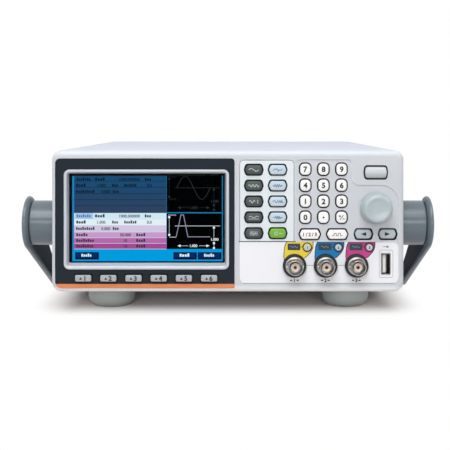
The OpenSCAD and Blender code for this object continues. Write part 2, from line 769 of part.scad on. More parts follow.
// Data sockets: an upright host port in front, a network port and a device port at the back
module data_sockets() {
    color("silver") {
        on_front(usb_x, usb_z) difference() {
            slab(rect(usb_w + 2 * usb_t, usb_h + 2 * usb_t, 0.5), -usb_deep, usb_out);
            difference() {
                slab(rect(usb_w, usb_h, 0.3), -usb_deep + 1, usb_out + eps);
                slab(moved(rect(tongue_w, tongue_h, 0), (tongue_w - usb_w) / 2 + 0.75, 0), -usb_deep, -1.5);
            }
        }
        on_rear(lan_x, port_z) difference() {
            slab(rect_at(-lan_w / 2, 0, lan_w / 2, lan_h, 0.3), -lan_l, port_out);
            slab(rect_at(-5.9, 2.6, 5.9, 11, 0), -14, port_out + eps);
        }
        on_rear(usb_b_x, port_z) difference() {
            slab(rect_at(-usb_b_w / 2, 0, usb_b_w / 2, usb_b_h, 0.3), -usb_b_l, port_out);
            difference() {
                slab([
                    [-4.25, 1.5, 0], [4.25, 1.5, 0], [4.25, 7.4, 0],
                    [2.6, 9.3, 0], [-2.6, 9.3, 0], [-4.25, 7.4, 0]
                ], -9, port_out + eps);
                slab(rect_at(-2.8, 3.8, 2.8, 7, 0), -10, -1);
            }
        }
    }
}

// Case shells
function inset_rect(d, r) = rect(case_w - 2 * d, case_h - 2 * d, r);
module shell_tube() {
    lip = frame_d - board_y - pcb_t - fit;
    lip_t = 2;
    ledge_w = 5;
    seat = rear_inset + rear_t - case_d;
    difference() {
        union() {
            slab(inset_rect(0, corner_r), -case_d, -frame_d);
            slab(inset_rect(frame_side + fit, corner_r - frame_side), -frame_d - eps, lip - frame_d);
        }
        slab(inset_rect(shell_t, corner_r - shell_t), seat + ledge_t, -frame_d - lip_t);
        slab(inset_rect(frame_side + lip_t, 1), -frame_d - lip_t - 1, lip);
        slab(inset_rect(shell_t + ledge_w, 2), -case_d - eps, seat + ledge_t + eps);
        slab(inset_rect(shell_t, corner_r - shell_t), -case_d - eps, seat);
    }
}

module half_space(upper) {
    translate([0, 0, z_axis + (upper ? case_h : -case_h)])
        cube([2 * case_w, 3 * case_d, 2 * case_h], center = true);
}

// Rows of slots through both side walls and through the bottom, near the back
module side_vents() {
    for (i = [0:vent_slots - 1]) translate([0, y_back - 26 - i * slot_pitch, z_axis + 4 + slot_l / 2])
        rotate([0, 90, 0]) linear_extrude(2 * case_w, center = true)
            polygon(rounded(rect(slot_l, slot_w, slot_w / 2 - 0.05)));
}

module floor_vents() {
    for (i = [0:vent_slots - 1]) translate([0, y_back - 80 - i * slot_pitch, z_case - eps])
        linear_extrude(shell_t + 2 * eps) polygon(rounded(rect(1.6 * slot_l, slot_w, slot_w / 2 - 0.05)));
}

module spigot_holes() {
    for (s = [-1, 1]) translate([s * (side_x - shell_t - 1), y_axis, z_axis]) rotate([0, s * 90, 0])
        cylinder(r = spigot_r + fit, h = shell_t + 2);
}

module rear_screw_places() {
    for (x = [-1, 1], z = [-1, 1]) on_rear(x * rear_screw.x, case_h / 2 + z * rear_screw.y) children();
}

module case_shell(upper) {
    difference() {
        union() {
            intersection() {
                on_front(0, case_h / 2) shell_tube();
                half_space(upper);
            }
            for (p = case_posts)
                peg(p, upper ? z_axis : z_case + eps, upper ? z_case + case_h - eps : z_axis, case_post_r);
        }
        spigot_holes();
        if (upper) side_vents();
        else floor_vents();
        rear_screw_places() peg([0, 0], -rear_hole_l, rear_hole_l, rear_screw_r + run);
        for (p = case_posts) {
            peg(p, z_case - 1, case_screw_z + case_screw_l + 1, case_screw_r + run);
            if (!upper) peg(p, z_case - 1, case_screw_z, case_head_r + fit);
        }
    }
}

module upper_cover() {
    color("ghostwhite") case_shell(true);
}

module lower_case() {
    color("ghostwhite") difference() {
        union() {
            case_shell(false);
            for (p = concat(main_posts, psu_posts)) peg(p, z_case + shell_t - eps, main_z, 3);
            for (p = feet_at) peg(p, z_case + shell_t - eps, z_case + shell_t + foot_boss, 3.5);
        }
        for (p = concat(main_posts, psu_posts)) peg(p, z_case + shell_t, main_z + 1, board_screw_r + run);
        for (p = feet_at) peg(p, z_case - 1, z_case + shell_t + foot_boss - 1, foot_screw_r + run);
    }
}

module feet() {
    flat_r = foot_r - 7.4;
    round_r = 6.6;
    color("darkgray") for (p = feet_at) translate([p.x, p.y, 0]) difference() {
        rotate_extrude() polygon(concat(
            [[0, 0]],
            [for (a = [0:15:90]) [flat_r + round_r * sin(a), round_r * (1 - cos(a))]],
            [[foot_r, foot_h], [0, foot_h]]
        ));
        peg([0, 0], -eps, foot_h - foot_web, foot_head_r + 0.7);
        peg([0, 0], -eps, foot_h + 1, foot_screw_r + run);
    }
}

// Rear panel with cut-outs for the fan, the inlet and the sockets
module fan_grille() {
    bar = 1.6;
    gap = 3.2;
    rings = floor((fan_bore - 10) / (bar + gap));
    difference() {
        for (i = [1:rings]) difference() {
            circle(r = 9 + i * (bar + gap));
            circle(r = 9 + i * (bar + gap) - gap);
        }
        for (a = [45, 135]) rotate(a) square([2 * fan_w, 3], center = true);
    }
}

module rear_panel() {
    w = case_w - 2 * shell_t - 2 * fit;
    h = case_h - 2 * shell_t - 2 * fit;
    color("gainsboro") difference() {
        on_rear(0, case_h / 2) slab(rect(w, h, corner_r - shell_t), -rear_t, 0);
        on_rear(fan_x, fan_z) {
            translate([0, 0, -rear_t - eps]) linear_extrude(rear_t + 2 * eps) fan_grille();
            for (x = [-1, 1], z = [-1, 1]) peg([x, z] * fan_hole, -rear_t - eps, 1, fan_screw_r + fit);
        }
        on_rear(0, rear_bnc_z) for (x = rear_bnc_x) peg([x, 0], -rear_t - eps, 1, bnc_r + fit);
        on_rear(inlet_x, inlet_z) slab(rect(inlet_w + 2 * fit, inlet_h + 2 * fit, 1), -rear_t - eps, eps);
        on_rear(lan_x, port_z + lan_h / 2)
            slab(rect(lan_w + 2 * fit, lan_h + 2 * fit, 0.5), -rear_t - eps, eps);
        on_rear(usb_b_x, port_z + usb_b_h / 2)
            slab(rect(usb_b_w + 2 * fit, usb_b_h + 2 * fit, 0.5), -rear_t - eps, eps);
        rear_screw_places() peg([0, 0], -rear_t - eps, 1, rear_screw_r + fit);
    }
}

// Mains inlet with its flange, socket cavity and three blades
module mains_inlet() {
    color("#202124") on_rear(inlet_x, inlet_z) {
        difference() {
            union() {
                slab(rect(inlet_w + 5, inlet_h + 8, 2), 0, inlet_t);
                slab(rect(inlet_w, inlet_h, 1), -inlet_body_l, eps);
            }
            slab([
                [-12, -8, 1], [12, -8, 1], [12, 4, 0.8], [8, 8, 0.8], [-8, 8, 0.8], [-12, 4, 0.8]
            ], inlet_t - inlet_deep, inlet_t + eps);
        }
        for (p = [[-7, -2], [0, 2], [7, -2]]) translate([p.x - 1, p.y - 2, inlet_t - inlet_deep - eps])
            cube([2, 4, inlet_deep - 4]);
    }
}

// Circuit boards
module main_board() {
    top = main_z + pcb_t;
    color("darkgreen") difference() {
        translate([main_x0, main_y0, main_z]) cube([main_x1 - main_x0, main_y1 - main_y0, pcb_t]);
        for (p = main_posts) peg(p, main_z - eps, top + eps, board_screw_r + fit);
    }
    color("silver") {
        translate([main_x0 + can_at.x, main_y0 + can_at.y, top]) cube(can);
        translate([main_x0 + chip_at.x, main_y0 + chip_at.y, top]) cube(chip);
        translate([main_x0 + sink_at.x, main_y0 + sink_at.y, top]) {
            cube(sink);
            for (i = [0:fin_n - 1]) translate([i * fin_pitch, 0, 0]) cube(fin);
        }
    }
    color("slategray") translate([func_x1 - ribbon_w, y_front + board_y + pcb_t, ribbon_z]) {
        cube([ribbon_w, ribbon_l, ribbon_t]);
        translate([0, ribbon_l - ribbon_t, top - ribbon_z])
            cube([ribbon_w, ribbon_t, ribbon_z - top + ribbon_t]);
    }
}

module power_supply() {
    top = main_z + pcb_t;
    color("peru") difference() {
        translate([psu_x0, psu_y0, main_z]) cube([psu_x1 - psu_x0, psu_y1 - psu_y0, pcb_t]);
        for (p = psu_posts) peg(p, main_z - eps, top + eps, board_screw_r + fit);
    }
    color("goldenrod") translate([psu_x0 + coil_at.x, psu_y0 + coil_at.y, top]) cube(coil);
    color("black") {
        translate([psu_x0 + big_cap_at.x, psu_y0 + big_cap_at.y, top]) cylinder(r = big_cap_r, h = big_cap_h);
        for (i = [0:1]) translate([psu_x0 + cap_at.x + cap_pitch * i, psu_y0 + cap_at.y, top])
            cylinder(r = cap_r, h = cap_h);
    }
    color("silver") translate([psu_x0 + plate_at.x, psu_y0 + plate_at.y, top]) cube(plate);
    color("saddlebrown") for (i = [-1:1]) translate([inlet_x + lead_pitch * i, lead_y, top]) {
        cylinder(r = lead_r, h = z_case + inlet_z - top);
        translate([0, -lead_r, z_case + inlet_z - top]) rotate([-90, 0, 0])
            cylinder(r = lead_r, h = y_rear - inlet_body_l - lead_y + lead_r);
    }
}

// Cooling fan
module fan_frame() {
    ring_t = 3;
    color("#202124") on_rear(fan_x, fan_z) translate([0, 0, -rear_t - fan_d]) {
        difference() {
            slab(rect(fan_w, fan_w, 4), 0, fan_d);
            peg([0, 0], -eps, fan_d + eps, fan_bore);
            for (x = [-1, 1], z = [-1, 1]) peg([x, z] * fan_hole, -eps, fan_d + eps, fan_screw_r + run);
        }
        difference() {
            union() {
                cylinder(r = fan_motor_r, h = ring_t);
                for (a = [0:90:270]) rotate(a)
                    slab(rect_at(fan_motor_r - 1, -1.5, fan_bore + 0.5, 1.5, 0), 0, ring_t - 0.5);
            }
            peg([0, 0], 0.8, ring_t + eps, fan_shaft_r + run);
        }
    }
}

module fan_rotor() {
    gap = 3.6;
    blades = 7;
    blade_l = fan_bore - fan_motor_r - 0.4;
    rotor_h = fan_d - gap - 1.5;
    color("dimgray") on_rear(fan_x, fan_z) translate([0, 0, -rear_t - fan_d]) {
        peg([0, 0], gap, gap + rotor_h, fan_motor_r);
        peg([0, 0], 1, gap + eps, fan_shaft_r);
        for (i = [0:blades - 1]) rotate(i * 360 / blades)
            translate([fan_motor_r - 0.8, 0, gap + rotor_h / 2]) rotate([50, 0, 0])
                translate([0, -rotor_h / 2, -0.6]) cube([blade_l, rotor_h, 1.2]);
    }
}

// Handle hubs, clamped between the two shells
module handle_hubs() {
    flange = 11;
    inside = 2;
    color("slategray") for (s = [-1, 1]) translate([s * side_x, y_axis, z_axis]) rotate([0, s * 90, 0]) {
        rotate_extrude() polygon([
            [0, -shell_t - inside], [flange, -shell_t - inside], [flange, -shell_t], [spigot_r, -shell_t],
            [spigot_r, 0], [hub_r, 0], [hub_r, hub_l - 0.8], [hub_r - 0.8, hub_l],
            [pin_r, hub_l], [pin_r, hub_l + pin_l - 0.4], [0, hub_l + pin_l - 0.4]
        ]);
    }
}

// Carry handle, folded back and down under the case
module handle_arm() {
    dome = 1.9;
    edge = arm_t - dome;
    difference() {
        union() {
            rotate_extrude() polygon(concat(
                [[0, 0], [head_r - 0.6, 0], [head_r, 0.6], [head_r, edge - 0.4]],
                [for (a = [75:-15:0]) [head_r * sin(a), edge + dome * cos(a)]]
            ));
            hull() {
                translate([0, 0, arm_lift]) cylinder(r = arm_head_r, h = edge + 0.5 - arm_lift, $fn = 32);
                translate([arm_l, 0, -arm_in]) cylinder(r = arm_end_r, h = edge + 0.6, $fn = 32);
            }
        }
        peg([0, 0], -eps, pin_l, pin_r + run);
    }
}

module handle() {
    grip_x = arm_x - arm_in + 0.5;
    color("slategray") translate([0, y_axis, z_axis]) rotate([-fold_angle, 0, 0]) {
        for (s = [0, 1]) mirror([s, 0, 0]) translate([arm_x, 0, 0])
            rotate([0, 90, 0]) rotate(90) handle_arm();
        translate([-grip_x, arm_l, 0]) rotate([0, 90, 0]) cylinder(r = grip_r, h = 2 * grip_x);
    }
}

// All fasteners
module screws() {
    color("silver") {
        for (p = key_pcb_posts) on_front(p.x, p.y) translate([0, 0, -board_y - pcb_t]) mirror([0, 0, 1])
            screw(board_screw_l + pcb_t - 1.2, board_screw_r, 2, 1.2);
        for (p = concat(main_posts, psu_posts)) translate([p.x, p.y, main_z + pcb_t])
            screw(standoff_h, board_screw_r, 2, 1.4);
        for (p = case_posts) translate([p.x, p.y, case_screw_z]) mirror([0, 0, 1])
            screw(case_screw_l, case_screw_r, case_head_r, 2);
        for (p = feet_at) translate([p.x, p.y, foot_h - foot_web]) mirror([0, 0, 1])
            screw(foot_web + shell_t + foot_boss - 1.5, foot_screw_r, foot_head_r, 2);
        rear_screw_places() screw(rear_t + 7, rear_screw_r, 2.8, 1.8);
        for (x = [-1, 1], z = [-1, 1]) on_rear(fan_x + x * fan_hole, fan_z + z * fan_hole)
            screw(rear_t + 10, fan_screw_r, 2.8, 1.8);
    }
}

front_frame();
display_panel();
accent_strip();
display_surround();
display_lens();
lcd_module();
control_overlay();
keypad_mats();
key_boards();
knob();
bnc_sockets();
data_sockets();
upper_cover();
lower_case();
rear_panel();
feet();
handle_hubs();
handle();
main_board();
power_supply();
fan_frame();
fan_rotor();
mains_inlet();
screws();
for (k = keys) key(k);
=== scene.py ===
import json
import math
import bmesh
import bpy
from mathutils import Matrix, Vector
from mathutils.bvhtree import BVHTree


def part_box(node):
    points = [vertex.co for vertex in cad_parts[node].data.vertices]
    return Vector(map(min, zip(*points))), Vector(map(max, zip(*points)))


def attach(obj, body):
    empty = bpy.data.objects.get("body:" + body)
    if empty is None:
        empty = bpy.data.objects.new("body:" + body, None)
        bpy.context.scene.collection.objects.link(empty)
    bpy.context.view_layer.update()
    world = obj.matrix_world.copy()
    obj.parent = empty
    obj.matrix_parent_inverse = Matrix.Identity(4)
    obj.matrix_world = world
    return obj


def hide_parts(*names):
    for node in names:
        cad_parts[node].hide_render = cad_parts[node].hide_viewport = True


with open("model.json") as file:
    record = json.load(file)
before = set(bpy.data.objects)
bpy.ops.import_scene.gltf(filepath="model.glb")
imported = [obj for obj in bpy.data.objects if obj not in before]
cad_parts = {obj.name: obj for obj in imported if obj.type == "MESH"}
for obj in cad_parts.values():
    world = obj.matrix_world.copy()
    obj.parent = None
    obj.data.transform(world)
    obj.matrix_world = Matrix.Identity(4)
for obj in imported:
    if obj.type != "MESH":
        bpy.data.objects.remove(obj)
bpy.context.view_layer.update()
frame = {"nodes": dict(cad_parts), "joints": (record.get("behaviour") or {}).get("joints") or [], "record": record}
nodes = frame["nodes"]
jointAt = {j["name"]: j.get("pos_m") for j in frame["joints"]}
openingBox = {o["name"]: o["box_m"] for o in frame["record"]["physics"]["openings"]}
scene = bpy.context.scene
mm = 0.001
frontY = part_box("control_overlay")[0].y    # front face of the case
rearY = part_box("rear_panel")[1].y
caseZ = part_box("front_frame")[0].z / mm    # bottom of the case
print("frame loaded")


def linearColour(hexText):
    channels = [int(hexText[i:i + 2], 16) / 255 for i in (1, 3, 5)]
    return [c / 12.92 if c <= 0.04045 else ((c + 0.055) / 1.055) ** 2.4 for c in channels] + [1.0]


# A source that is a node stands for its first output
def linkUp(tree, node, links):
    for key, source in links.items():
        tree.links.new(getattr(source, "outputs", [source])[0], node.inputs[key])


def addNode(tree, kind, settings=None, links=None):
    node = tree.nodes.new("ShaderNode" + kind)
    for key, value in (settings or {}).items():
        if isinstance(key, int) or key in node.inputs:
            node.inputs[key].default_value = value
        else:
            setattr(node, key, value)
    linkUp(tree, node, links or {})
    return node


def newMaterial(name, surface):
    material = bpy.data.materials.new(name)
    material.use_nodes = True
    tree = material.node_tree
    shader = tree.nodes["Principled BSDF"]
    for key, value in surface.items():
        shader.inputs[key].default_value = value
    return material, tree, shader, addNode(tree, "TexCoord").outputs["Object"]


# Two colours clouded into each other: inputs 6 and 7 of a Mix are its colours, and output 2 their blend
def cloudyColour(tree, place, sizeMm, detail, colours):
    cloud = addNode(tree, "TexNoise", {"Scale": 1 / (sizeMm * mm), "Detail": detail}, {"Vector": place})
    first, second = [linearColour(hexText) for hexText in colours]
    return addNode(tree, "Mix", {"data_type": "RGBA", 6: first, 7: second}, {0: cloud}).outputs[2]


# How far a point is from one height on the case to another
def heightShare(tree, place, startMm, fullMm):
    height = addNode(tree, "SeparateXYZ", links={0: place}).outputs["Z"]
    start, full = (caseZ + startMm) * mm, (caseZ + fullMm) * mm
    return addNode(tree, "MapRange", {"From Min": start, "From Max": full}, {"Value": height})


highlightBend = {"flat": 0.99, "sharp": 0.85, "most": 0.5}    # how far a surface bends before its edge gets the painted highlight
grainSpan = {"From Min": 0.25, "From Max": 0.75}    # the part of the grain's range that sets the roughness


# Cloudy colour, grain in roughness and bump, and where asked colour bands by height (print, or painted highlight),
# rounded edges and a painted highlight along the edges
def surfaceMaterial(name, colours, look):
    material, tree, shader, place = newMaterial(name, look.get("surface", {}))
    colour = cloudyColour(tree, place, look["cloudMm"], 3.0, colours)
    # Colour bands by height: a printed tint on the film, painted highlights on the frame's lips
    for hexText, levels in look.get("tintAndHighlightBands", ()):
        share = heightShare(tree, place, *levels)
        block = addNode(tree, "Mix", {"data_type": "RGBA", 7: linearColour(hexText)}, {0: share, 6: colour})
        colour = block.outputs[2]
    # Paler rounded edges, found by the Bevel node: a painted highlight
    if look.get("edgeHighlight"):
        corner = addNode(tree, "Bevel", {"samples": 4, "Radius": look["edgeHighlightMm"] * mm})
        facing = addNode(tree, "NewGeometry").outputs["Normal"]
        match = addNode(tree, "VectorMath", {"operation": "DOT_PRODUCT"}, {0: corner, 1: facing})
        rim = addNode(tree, "MapRange", {"From Min": highlightBend["flat"], "From Max": highlightBend["sharp"],
                                         "To Max": highlightBend["most"]}, {"Value": match.outputs["Value"]})
        highlighted = addNode(tree, "Mix", {"data_type": "RGBA", 7: linearColour(look["edgeHighlight"])},
                       {0: rim, 6: colour})
        colour = highlighted.outputs[2]
    grain = addNode(tree, "TexNoise", {"Scale": 1 / (look["grainMm"] * mm), "Detail": 2.0},
                    {"Vector": place})
    smooth, coarse = look["rough"]
    rough = addNode(tree, "MapRange", {**grainSpan, "To Min": smooth, "To Max": coarse}, {"Value": grain})
    bump = addNode(tree, "Bump", {"Strength": look["bump"], "Distance": look["depthMm"] * mm},
                   {"Height": grain})
    if look.get("edgeMm"):
        edge = addNode(tree, "Bevel", {"samples": 4, "Radius": look["edgeMm"] * mm})
        linkUp(tree, bump, {"Normal": edge})
    linkUp(tree, shader, {"Base Color": colour, "Roughness": rough, "Normal": bump})
    return material


# The real moulding grain is under 0.1 mm: it is drawn coarser so that it shows
plastic = {"cloudMm": 45, "grainMm": 0.45, "rough": (0.42, 0.54), "bump": 0.18, "depthMm": 0.03,
           "edgeMm": 0.25, "surface": {"IOR": 1.5, "Specular IOR Level": 0.4}}
keyPlastic = {"cloudMm": 12, "grainMm": 0.3, "rough": (0.36, 0.46), "bump": 0.10, "depthMm": 0.02,
              "surface": {"IOR": 1.5, "Specular IOR Level": 0.4}}
metal = {"cloudMm": 6, "grainMm": 0.18, "rough": (0.14, 0.26), "bump": 0.08, "depthMm": 0.01,
         "surface": {"Metallic": 1.0}}
ink = {"cloudMm": 3, "grainMm": 0.12, "rough": (0.42, 0.52), "bump": 0.06, "depthMm": 0.01,
       "surface": {"IOR": 1.45, "Specular IOR Level": 0.35}}
finishes = {
    # ABS from a spark-eroded tool: fine grain that spreads highlights into a soft sheen; its paler top and bottom
    # lips and edges are painted highlights
    "frame": ("abs_light_grey_moulded", plastic, "#c6cad0", "#ccd0d6", {
        "edgeHighlight": "#f0f3f8", "edgeHighlightMm": 0.9,
        "tintAndHighlightBands": (("#f0f2f6", (4.5, 2.2)), ("#d6dce5", (84.5, 87)))}),
    # ABS shells with a deeper grain: paler and flatter than the frame, edges a little brighter as a painted
    # highlight
    "shell": ("abs_off_white_grained", plastic, "#d4d8e7", "#dadeed", {
        "rough": (0.5, 0.62), "bump": 0.3, "edgeMm": 0.4, "edgeHighlight": "#eceef3", "edgeHighlightMm": 0.6}),
    # Satin polycarbonate sheet, painted behind: deep slate with a thin grey sheen
    "panel": ("polycarbonate_slate_satin_sheet", plastic, "#1a232c", "#1f2831", {
        "grainMm": 0.25, "surface": {"IOR": 1.58, "Specular IOR Level": 0.1}}),
    # Satin moulded ABS strip: one warm line of colour
    "strip": ("abs_orange_satin_moulded", plastic, "#da7b4a", "#e18957"),
    # Silver lacquer over ABS: fine metal flake that glints softly and grades round the lip
    "silver": ("silver_lacquer_on_abs", plastic, "#bcbfc5", "#c7c9cf", {
        "grainMm": 0.12, "rough": (0.30, 0.40), "edgeMm": 0,
        "surface": {"Metallic": 0.15, "Specular IOR Level": 0.5}}),
    # The same lacquer on the small menu keys, dulled by fingers
    "silverKey": ("silver_lacquer_on_keys", keyPlastic, "#a2a6ad", "#adb1b7", {
        "rough": (0.38, 0.5), "surface": {"Metallic": 0.2, "Specular IOR Level": 0.4}}),
    # Black polariser edge round the picture: a flat dark border
    "lcd": ("polariser_black_film", plastic, "#040506", "#07080a", {
        "edgeMm": 0, "surface": {"Specular IOR Level": 0.1}}),
    # Polyester film printed white on its back, cooler round the function keys: a clean, faintly satin white
    "overlay": ("polyester_white_printed_film", plastic, "#eaebf0", "#eeeff4", {
        "grainMm": 0.2, "bump": 0.08, "edgeMm": 0.1, "tintAndHighlightBands": (("#dfe6eb", (31.45, 31.55)),)}),
    # Moulded silicone for the mats: a dead matt black that drinks the light in the gaps; the same black is painted
    # shade on the walls of the key openings and on the keys' flanges and skirts
    "rubber": ("silicone_black_and_painted_shade", plastic, "#0e0f10", "#141516", {
        "rough": (0.6, 0.75), "edgeMm": 0, "surface": {"IOR": 1.41, "Specular IOR Level": 0.2}}),
    # Solder mask over glass fibre: deep green, glossy, mottled by copper beneath
    "board": ("fibreglass_green_solder_mask", plastic, "#0d4a2a", "#14613a", {
        "cloudMm": 4, "edgeMm": 0, "rough": (0.25, 0.4)}),
    # Turned brass under satin nickel: a warm silver with soft light and dark bands
    "nickel": ("brass_nickel_plated_turned", metal, "#9b9a95", "#aeada8", {
        "rough": (0.26, 0.36), "bump": 0.03}),
    # Gold flash on bronze: a warm dot that catches the light
    "gold": ("bronze_gold_plated_turned", metal, "#a06a3c", "#bd854e"),
    # Turned PTFE: waxy and slightly see-through, so shadows in it look pinkish white
    "insulator": ("ptfe_natural_turned", keyPlastic, "#f6e6dd", "#fcefe8", {
        "rough": (0.5, 0.6),
        "surface": {"IOR": 1.35, "Subsurface Weight": 0.2, "Subsurface Scale": 0.001}}),
    # Moulded nylon collar: satin black with a soft rim light; the same black is painted shade on the core in each
    # contact
    "collar": ("nylon_black_and_painted_shade", keyPlastic, "#101113", "#17181a", {"rough": (0.45, 0.55)}),
    # Powder-coated steel: a fine orange-peel skin that breaks up reflections
    "rear": ("steel_grey_powder_coated", plastic, "#b9bac0", "#c2c3c8", {"grainMm": 0.7, "bump": 0.4}),
    # Thermoplastic rubber: matt, greenish grey, slightly dusty
    "foot": ("tpe_grey_moulded", plastic, "#c0c7c3", "#c9d0cc", {"rough": (0.55, 0.68), "edgeMm": 0}),
    # Moulded ABS: satin blue grey, with a painted highlight along its edges
    "handle": ("abs_blue_grey_moulded", plastic, "#616d76", "#68747c", {
        "rough": (0.18, 0.28), "edgeMm": 0, "edgeHighlight": "#78848c", "edgeHighlightMm": 0.7,
        "surface": {"IOR": 1.5, "Specular IOR Level": 0.5}}),
    # The same ABS on the inner faces of the arms, left coarse by the tool and dull; their darker colour is painted
    # shade
    "armInsideShade": ("abs_blue_grey_coarse_painted_shade", plastic, "#3a4349", "#424b51", {
        "rough": (0.6, 0.7), "bump": 0.4, "edgeMm": 0,
        "surface": {"IOR": 1.5, "Specular IOR Level": 0.08}}),
    # Moulded PBT: satin black whose rounded edges catch the light; the same black is painted shade inside the data
    # port and in the screw recesses
    "black": ("pbt_black_and_painted_shade", plastic, "#141516", "#1c1d1f", {"edgeMm": 0.2}),
    # Zinc-plated pressed steel: dull silver, faintly clouded
    "zinc": ("steel_zinc_plated_pressed", metal, "#9fa1a3", "#b5b7b8", {"rough": (0.28, 0.4)}),
    # Satin ABS dial: a cool pale grey with a soft highlight along its rim
    "knob": ("abs_pale_grey_satin_moulded", keyPlastic, "#a9b7bb", "#b1bec2", {
        "cloudMm": 20, "rough": (0.24, 0.32), "surface": {"IOR": 1.5, "Specular IOR Level": 0.6}}),
    # Satin ABS buttons: silver grey, shaded by their crowned faces
    "power": ("abs_silver_grey_satin_moulded", keyPlastic, "#bfc5c9", "#c7cdd1"),
    # Satin ABS keys, coloured through: small soft highlights on crowned faces
    "slateKey": ("abs_slate_key_moulded", keyPlastic, "#3b4745", "#424e4c"),
    "blueKey": ("abs_pale_blue_key_moulded", keyPlastic, "#b9ccd8", "#c3d5e0"),
    "greenKey": ("abs_green_key_moulded", keyPlastic, "#6ba62a", "#76b034"),
    "whiteKey": ("abs_white_key_moulded", keyPlastic, "#f0efef", "#f6f5f5"),
    "greyKey": ("abs_mid_grey_key_moulded", keyPlastic, "#b4bec7", "#bec8d0"),
    # Liquid-crystal polymer: chalky white tongue in the metal shell
    "tongue": ("lcp_white_moulded", keyPlastic, "#e6e6e4", "#eeeeec"),
    # Screen-printed inks: thin, opaque and slightly duller than the film
    "blackInk": ("screen_ink_black", ink, "#141719", "#1c1f22"),
    "darkInk": ("screen_ink_slate", ink, "#1e242a", "#262d34"),
    # A dark grey ink round the key openings: painted shade of the gaps
    "gapShadeInk": ("screen_ink_painted_gap_shade", ink, "#3b4046", "#454a50"),
    "paleInk": ("screen_ink_pale_grey", ink, "#bcc7c5", "#ccd6d4"),
    "greyInk": ("screen_ink_grey", ink, "#888d93", "#94999e"),
    "blueInk": ("screen_ink_denim", ink, "#43648c", "#4f7098"),
    "redInk": ("screen_ink_russet", ink, "#7c4a46", "#885550"),
    "labelInk": ("screen_ink_label_slate", ink, "#2d3947", "#364250"),
}
stuff = {key: surfaceMaterial(name, (first, second), {**base, **dict(*more)})
         for key, (name, base, first, second, *more) in finishes.items()}

flagInk = {"levels": (19.5, 30.5), "dotMm": 0.12, "bump": 0.1, "depthMm": 0.01,
           "surface": {"Roughness": 0.45, "IOR": 1.45, "Specular IOR Level": 0.3}}
flagColours = {"yellow": ("#f6dd48", "#e4c83a"), "blue": ("#0a86cc", "#186694"),
               "magenta": ("#de4a9f", "#9c4074")}


# Blended screen inks: opaque, finely dotted colour that runs from a lighter foot to a deeper head
def gradientInk(name, colours):
    material, tree, shader, place = newMaterial(name, flagInk["surface"])
    foot, head = [linearColour(hexText) for hexText in colours]
    rise = heightShare(tree, place, *flagInk["levels"])
    tint = addNode(tree, "Mix", {"data_type": "RGBA", 6: foot, 7: head}, {0: rise})
    dots = addNode(tree, "TexNoise", {"Scale": 1 / (flagInk["dotMm"] * mm), "Detail": 1.0},
                   {"Vector": place})
    bump = addNode(tree, "Bump", {"Strength": flagInk["bump"], "Distance": flagInk["depthMm"] * mm},
                   {"Height": dots})
    linkUp(tree, shader, {"Base Color": tint.outputs[2], "Normal": bump})
    return material


for key, colours in flagColours.items():
    stuff[key] = gradientInk("screen_ink_" + key, colours)

# Clear acrylic, coated on both faces: the coat cancels the mirror image and leaves the picture clear
windowLook = {"smearMm": 18, "colours": ("#f1f5f7", "#f8fafb"),
              "surface": {"Roughness": 0.0, "IOR": 1.0, "Transmission Weight": 1.0}}
stuff["window"], tree, shader, place = newMaterial("acrylic_clear_coated", windowLook["surface"])
haze = cloudyColour(tree, place, windowLook["smearMm"], 2.0, windowLook["colours"])
linkUp(tree, shader, {"Base Color": haze})

screenLook = {"cellMm": 0.198, "glow": (0.95, 1.05),
              "waveAtOne": math.pi / 10,    # a wave's length at scale 1
              "surface": {"Base Color": linearColour("#020203"), "Roughness": 0.6,
                          "Specular IOR Level": 0.0}}
screenColours = {
    "bar": "#00a0e4", "edge": "#1a86bf", "black": "#010202", "mark": "#f3fbff", "wave": "#a79cb6",
    "dim": "#2c3034", "soft": "#0c2c66", "softEdge": "#07133a", "softText": "#e9f3fb", "text": "#33363f",
    "dimText": "#0f2233", "rowLine": "#16354f", "lowLine": "#e3e6f2", "chosen": "#a9cdf2",
    "chosenText": "#5f7fb5", "up0": "#1c4f78", "up1": "#1f4d74", "up2": "#224a70", "up3": "#27486b",
    "up4": "#2b4668", "up5": "#304563", "low0": "#d5f0fa", "low1": "#eaf6fb", "low2": "#d9cce6",
    "low3": "#cf9ecf", "low4": "#bb6db0", "low5": "#ab4d94",
}


# Colour filters over a backlight: even glowing colour, faintly banded by the columns of cells
def screenInk(name, hexText):
    lit = {**screenLook["surface"], "Emission Color": linearColour(hexText)}
    material, tree, shader, place = newMaterial(name, lit)
    scale = screenLook["waveAtOne"] / (screenLook["cellMm"] * mm)
    cells = addNode(tree, "TexWave", {"bands_direction": "X", "Scale": scale}, {"Vector": place})
    least, most = screenLook["glow"]
    glow = addNode(tree, "MapRange", {"To Min": least, "To Max": most}, {"Value": cells.outputs["Fac"]})
    linkUp(tree, shader, {"Emission Strength": glow})
    return material


for key, hexText in screenColours.items():
    stuff["screen." + key] = screenInk("lcd_colour_filter_" + key, hexText)
print("materials made")


def spread(first, last, steps):
    return [first + (last - first) * i / steps for i in range(steps + 1)]


# Shapes lie in the plane of the front: x to the right, z up, in millimetres
def arcPoints(radius, angles, x=0, z=0):
    return [(x + radius * math.cos(a), z + radius * math.sin(a)) for a in angles]


def cornerArc(a, b, c, radius, steps=6):
    if radius <= 0:
        return [b]
    a, b, c = Vector(a), Vector(b), Vector(c)
    u, v = (a - b).normalized(), (c - b).normalized()
    half = u.angle(v) / 2
    centre = b + (u + v).normalized() * radius / math.sin(half)
    start = b + u * radius / math.tan(half) - centre
    end = b + v * radius / math.tan(half) - centre
    first = math.atan2(start.y, start.x)
    turn = (math.atan2(end.y, end.x) - first + math.pi) % (2 * math.pi) - math.pi
    return arcPoints(radius, spread(first, first + turn, steps), centre.x, centre.y)


